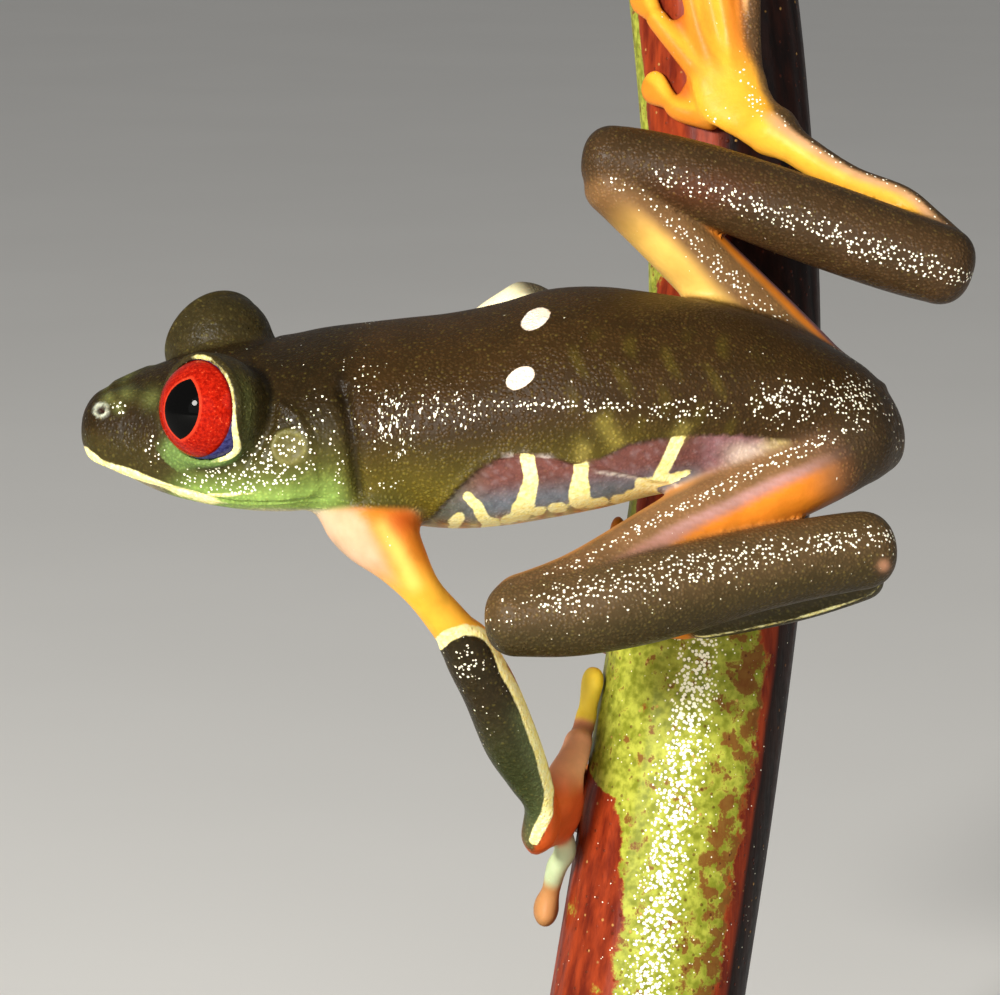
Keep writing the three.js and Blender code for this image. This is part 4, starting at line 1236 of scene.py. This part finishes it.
def eye(name, side, material):
    """An eyeball with a slightly bulging cornea; side is -1 for the frog's left."""
    rings, sectors = 95, 160
    a = np.repeat(np.linspace(0, math.pi, rings + 2)[1:-1], sectors)[:, None]
    t = np.tile(np.linspace(0, 2 * math.pi, sectors, endpoint=False), rings)[:, None]
    way = np.cos(a) * EYE_AXIS + np.sin(a) * (np.cos(t) * EYE_UP + np.sin(t) * EYE_BACK)
    way = np.vstack([way, EYE_AXIS, -EYE_AXIS])
    faces = ring_faces(rings, sectors, len(way) - 2, len(way) - 1)
    from_pupil = np.degrees(np.arccos(np.clip(way @ PUPIL_AXIS, -1, 1)))
    points = way * (EYE_RADIUS + 0.08 * bell(from_pupil, 40))[:, None]
    up, back = perpendiculars(PUPIL_AXIS)
    # Two arcs that meet in a point above and below
    arc = (PUPIL_HALF_WIDTH**2 + PUPIL_HALF_HEIGHT**2) / (2 * PUPIL_HALF_WIDTH)
    pupil = arc - np.hypot(np.abs(points @ back) + arc - PUPIL_HALF_WIDTH, points @ up)
    pupil = np.where(way @ PUPIL_AXIS > 0, pupil, -2)
    points = EYE_CENTRE + (turned_back(points, RIGHT_EYE_BACK) if side > 0 else points)
    points[:, 1] *= side
    a, b, c = points[faces[0]]
    if np.dot(np.cross(b - a, c - a), a - EYE_CENTRE * [1, side, 1]) < 0:
        faces = faces[:, ::-1]
    angle = np.degrees(np.arccos(np.clip(way @ EYE_AXIS, -1, 1)))
    floats = {"angle": angle, "pupil": pupil, "behind": way @ EYE_BACK}
    return new_piece(name, perch_to_part(body_to_perch(points)), faces, material, "eye", **floats)


eye_look = eye_material()
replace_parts(eye("eyeball_left", -1, eye_look), "eye_left")
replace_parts(eye("eyeball_right", 1, eye_look), "eye_right")


# ---- The stem ----


def stem_material():
    m = Shader("stem_bark")
    where = m.place()
    blotch, fine = m.noise(where, 300.0, 6.0, 0.7), m.noise(where, 1500.0)
    fibre, stain = m.noise(m.place((1.0, 1.0, 0.22)), 900.0, 4.0, 0.6), m.noise(where, 750.0, 4.0, 0.65)
    share = m.attribute("green") + (blotch - 0.5) * 3.0
    m.colour = m.between(fine, 0.3, 0.7, (114, 120, 30), (170, 174, 66))
    m.lay(m.step(stain + m.attribute("spoilt") * 0.14, 0.57, 0.66) * 0.85, (104, 40, 20))
    red = m.between(fibre, 0.3, 0.7, (92, 26, 12), (150, 56, 24))
    m.colour = m.mix(m.step(share, 0.42, 0.62), red, m.colour)
    m.lay(m.step(share, 0.36, 0.5) * m.step(share, 0.64, 0.5) * 0.5, (150, 84, 34))
    # Painted shade: the stem's right side, away from the key light, goes nearly black
    dark = m.attribute("dark") + (fibre - 0.5) * 0.8
    m.lay(m.step(dark, 0.3, 0.8), m.between(fibre, 0.35, 0.65, (16, 7, 6), (38, 16, 10)))
    (dots, chance), (painted_glint, painted_glint_chance) = m.cells(where, 1500.0), m.cells(where, 3300.0, 0.9)
    dot = (chance[0] > 0.45) * m.step(dots, 0.24, 0.1)
    m.lay(dot * 0.65, m.between(chance[1], 0.7, 0.9, (84, 34, 16), (196, 150, 84)))
    # Painted highlights: glints thick down the middle of the lower stem
    glint = m.attribute("glint")
    m.lay((glint > painted_glint_chance[1]) * m.step(glint * 0.26 + 0.2 - painted_glint, 0.0, 0.1), (255, 252, 226))
    m.set(Roughness=fine * 0.25 + 0.3, Specular_IOR_Level=0.1)
    return m.finished(Normal=m.bump(fibre * 0.7 + dot * 0.6, 0.5, 0.00022))


def cut_material():
    m = Shader("stem_cut")
    where = m.place()
    (spots, _), fine = m.cells(where, 900.0), m.noise(where, 1800.0, 4.0)
    m.colour = m.between(spots, 0.5, 0.2, (196, 178, 120), (228, 214, 160))
    m.lay(m.step(fine, 0.3, 0.8), (160, 130, 80))
    m.lay(m.step(m.attribute("rind"), 0.82, 0.94), (104, 62, 30))
    return m.finished(Roughness=0.7, Normal=m.bump(spots, 0.5, 0.0002))


STEM_SECTORS, STEM_ROWS, CHAMFER, CUT_RISE = 144, 260, 0.35, 0.12


def stem():
    turn = np.linspace(-math.pi, math.pi, STEM_SECTORS, endpoint=False)
    degrees = np.degrees(turn)
    quarter = np.linspace(0, math.pi / 2, 4)
    ends = [(CHAMFER * (1 - math.cos(t)), 1 - 0.05 * (1 - math.sin(t))) for t in quarter]
    heights = ends + [(h, 1.0) for h in np.linspace(0.8, STEM_LENGTH - 0.8, STEM_ROWS)]
    heights += [(STEM_LENGTH - h, g) for h, g in reversed(ends)]
    rng = np.random.default_rng(7)
    ribs = [(int(k), rng.uniform(0, 6.28), rng.uniform(-0.02, 0.02)) for k in rng.integers(7, 26, 9)]
    rings, looks = [], []
    for h, g in heights:
        rib = sum(np.cos(k * turn + p + q * h) for k, p, q in ribs) / len(ribs)
        rib *= 1 if 0.5 < h < STEM_LENGTH - 0.5 else 0.2
        r = float(stem_radius(h)) * g + 0.14 * rib - 0.06
        rings.append(np.stack([stem_side(h) + r * np.sin(turn), -r * np.cos(turn), 0 * turn + h], axis=1))
        lower = ramp(46, 33, h)
        left = np.interp(h, [7, 16, 20, 22, 23.5, 26], [-22, -28, -36, -46, -75, -120])
        band = ramp(-6, 6, degrees - left) * ramp(12, -14, degrees - 40)
        back = 0.45 * ramp(110, 150, np.abs(degrees))
        top = 1.2 * ramp(-66, -74, degrees) * ramp(-140, -110, degrees)
        green = lower * (band * 1.05 + back) + (1 - lower) * (top + back)
        # Painted shade on the stem's right side, reaching further round on the upper stem
        shade = ramp(42, 58, degrees)
        shade = np.maximum(shade, (1 - lower) * ramp(-22, 6, degrees)) * ramp(150, 110, degrees)
        # A painted highlight band down the middle of the lower stem
        painted_glint = (0.14 + 1.1 * np.exp(-np.abs((degrees + 4) / 15) ** 3)) * bell(degrees, 50) * lower
        looks.append([green, shade, painted_glint, ramp(2, 34, degrees) * lower])
    looks = dict(zip(("green", "dark", "glint", "spoilt"), np.concatenate(looks, axis=1)))
    bark = perch_to_part(np.vstack(rings))
    faces = ring_faces(len(rings), STEM_SECTORS)
    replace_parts(new_piece("stem_bark", bark, faces, stem_material(), "stem", **looks), "perch_stem")
    cut_look = cut_material()
    for name, rim, sign in (("stem_cut_bottom", rings[0], -1), ("stem_cut_top", rings[-1], 1)):
        middle, shares = rim.mean(axis=0), np.linspace(1, 0.08, 13)
        disc = []
        for f in shares:
            disc.append(middle + (rim - middle) * f)
            disc[-1][:, 2] += sign * CUT_RISE * (1 - f**6) * (1 + 0.3 * f * np.sin(3 * turn))
        disc = np.vstack(disc + [middle + [0, 0, sign * CUT_RISE]])
        faces = ring_faces(len(shares), STEM_SECTORS, last=len(disc) - 1)[:, ::sign]
        rind = np.append(np.repeat(shares, STEM_SECTORS), 0.0)
        new_piece(name, perch_to_part(disc), faces, cut_look, "stem", rind=rind)


stem()


# ---- The display stand ----


def wood_material():
    m = Shader("stand_wood")
    grain = m.noise(m.place((0.12, 1.0, 1.0)), 260.0, 6.0, 0.6)
    pores = m.noise(m.place((0.06, 1.0, 1.0)), 1600.0)
    m.colour = m.between(grain, 0.35, 0.65, (38, 26, 20), (66, 46, 34))
    m.lay(m.step(pores, 0.55, 0.7) * 0.5, (24, 16, 12))
    m.set(Roughness=grain * 0.16 + 0.32, Specular_IOR_Level=0.45, Coat_Weight=0.25, Coat_Roughness=0.25)
    return m.finished(Normal=m.bump(pores, 0.25, 0.0001))


def metal_material():
    m = Shader("stand_metal")
    brushed = m.noise(m.place((1.0, 1.0, 14.0)), 500.0, 4.0)
    m.colour = m.between(brushed, 0.3, 0.7, (160, 162, 166), (206, 208, 210))
    return m.finished(Metallic=1.0, Roughness=brushed * 0.16 + 0.2, Normal=m.bump(brushed, 0.15, 0.00004))


def lathe(name, profile, side, material, slot, sectors):
    """A body turned from its outline of radius and height; the ends of the outline lie on the axis."""
    turn = np.linspace(0, 2 * math.pi, sectors, endpoint=False)
    rings = [np.stack([r * np.cos(turn), r * np.sin(turn), 0 * turn + h], axis=1) for r, h in profile[1:-1]]
    points = np.vstack(rings + [[[0, 0, profile[0][1]]], [[0, 0, profile[-1][1]]]]) + [side, 0, 0]
    faces = ring_faces(len(rings), sectors, len(points) - 2, len(points) - 1)
    piece = new_piece(name, points, faces, material, slot)
    piece.data.set_sharp_from_angle(angle=math.radians(35))
    return piece


BASE_RADIUS, BASE_THICKNESS, ROUNDING, BASE_INNER = 32.0, 8.0, 1.5, 20
ROD_RADIUS, ROD_PLACE, ROD_TOP, ROD_FOOT, ROD_EDGE = 2.0, 6.4, 25.0, 3.3, 0.2
outline = [(0, 0), (BASE_INNER, 0), (BASE_RADIUS - 0.5, 0), (BASE_RADIUS, 0.5)]
for t in np.linspace(0, math.pi / 2, 9):
    out, up = ROUNDING * math.cos(t), ROUNDING * math.sin(t)
    outline.append((BASE_RADIUS - ROUNDING + out, BASE_THICKNESS - ROUNDING + up))
outline += [(BASE_INNER, BASE_THICKNESS), (0, BASE_THICKNESS)]
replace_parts(lathe("stand_disc", outline, 0, wood_material(), "stand_wood", 160), "stand_base")
outline = [(0, ROD_FOOT), (ROD_RADIUS - ROD_EDGE, ROD_FOOT), (ROD_RADIUS, ROD_FOOT + ROD_EDGE)]
outline += [(ROD_RADIUS, ROD_TOP - ROD_EDGE), (ROD_RADIUS - ROD_EDGE, ROD_TOP), (0, ROD_TOP)]
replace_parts(lathe("stand_post", outline, ROD_PLACE, metal_material(), "stand_metal", 96), "stand_rod")


# ---- Floor, lights and camera ----


def floor_material():
    m = Shader("studio_floor")
    where = m.place()
    m.colour = m.between(m.noise(where, 14.0), 0.2, 0.8, (229, 228, 224), (232, 231, 227))
    m.set(Roughness=0.75, Specular_IOR_Level=0.25)
    return m.finished(Normal=m.bump(m.noise(where, 900.0), 0.05, 0.0002))


side = np.linspace(-4000, 4000, 9)
grid = np.array([[x, y, 0.0] for y in side for x in side])
quads = [[r * 9 + c, r * 9 + c + 1, (r + 1) * 9 + c + 1, (r + 1) * 9 + c] for r in range(8) for c in range(8)]
floor = new_mesh("floor", grid, np.array(quads))
floor.data.materials.append(floor_material())


def aim(thing, place, target=TARGET):
    thing.location = Vector(place) * MM
    thing.rotation_euler = (Vector(target) - Vector(place)).to_track_quat("-Z", "Y").to_euler()


def area_light(name, left, raised, distance, size, power, colour):
    """A round light at an angle left of the camera, at an elevation and distance from the target."""
    light = bpy.data.lights.new(name, "AREA")
    light.shape, light.size, light.energy, light.color = "DISK", size * MM, power, colour
    a, e = math.radians(left), math.radians(raised)
    way = np.array([-math.sin(a) * math.cos(e), -math.cos(a) * math.cos(e), math.sin(e)])
    aim(linked(name, light), TARGET + distance * way)


area_light("key", 33, 21, 620, 120, 6.2, (1.0, 0.97, 0.92))
area_light("fill", -50, 22, 1100, 700, 2.0, (1.0, 0.98, 0.96))
sun = bpy.data.lights.new("sky", "SUN")
sun.energy, sun.angle = 1.0, math.radians(60)
aim(linked("sky", sun), (-200, -800, 130), (0, 0, 0))
world = bpy.data.worlds.new("studio")
bpy.context.scene.world = world
world.use_nodes = True
world.node_tree.nodes["Background"].inputs["Color"].default_value = (0.94, 0.93, 0.92, 1)
world.node_tree.nodes["Background"].inputs["Strength"].default_value = 0.22

camera = bpy.data.cameras.new("camera")
camera.sensor_width, camera.lens = 36.0, 36.0 * DISTANCE * SCALE / 1000
camera.clip_start, camera.clip_end = 0.01, 20
bpy.context.scene.camera = linked("camera", camera)
aim(bpy.context.scene.camera, TARGET + DISTANCE * np.array([0, -math.cos(LEAN), math.sin(LEAN)]))
bpy.context.scene.view_settings.view_transform = "Standard"
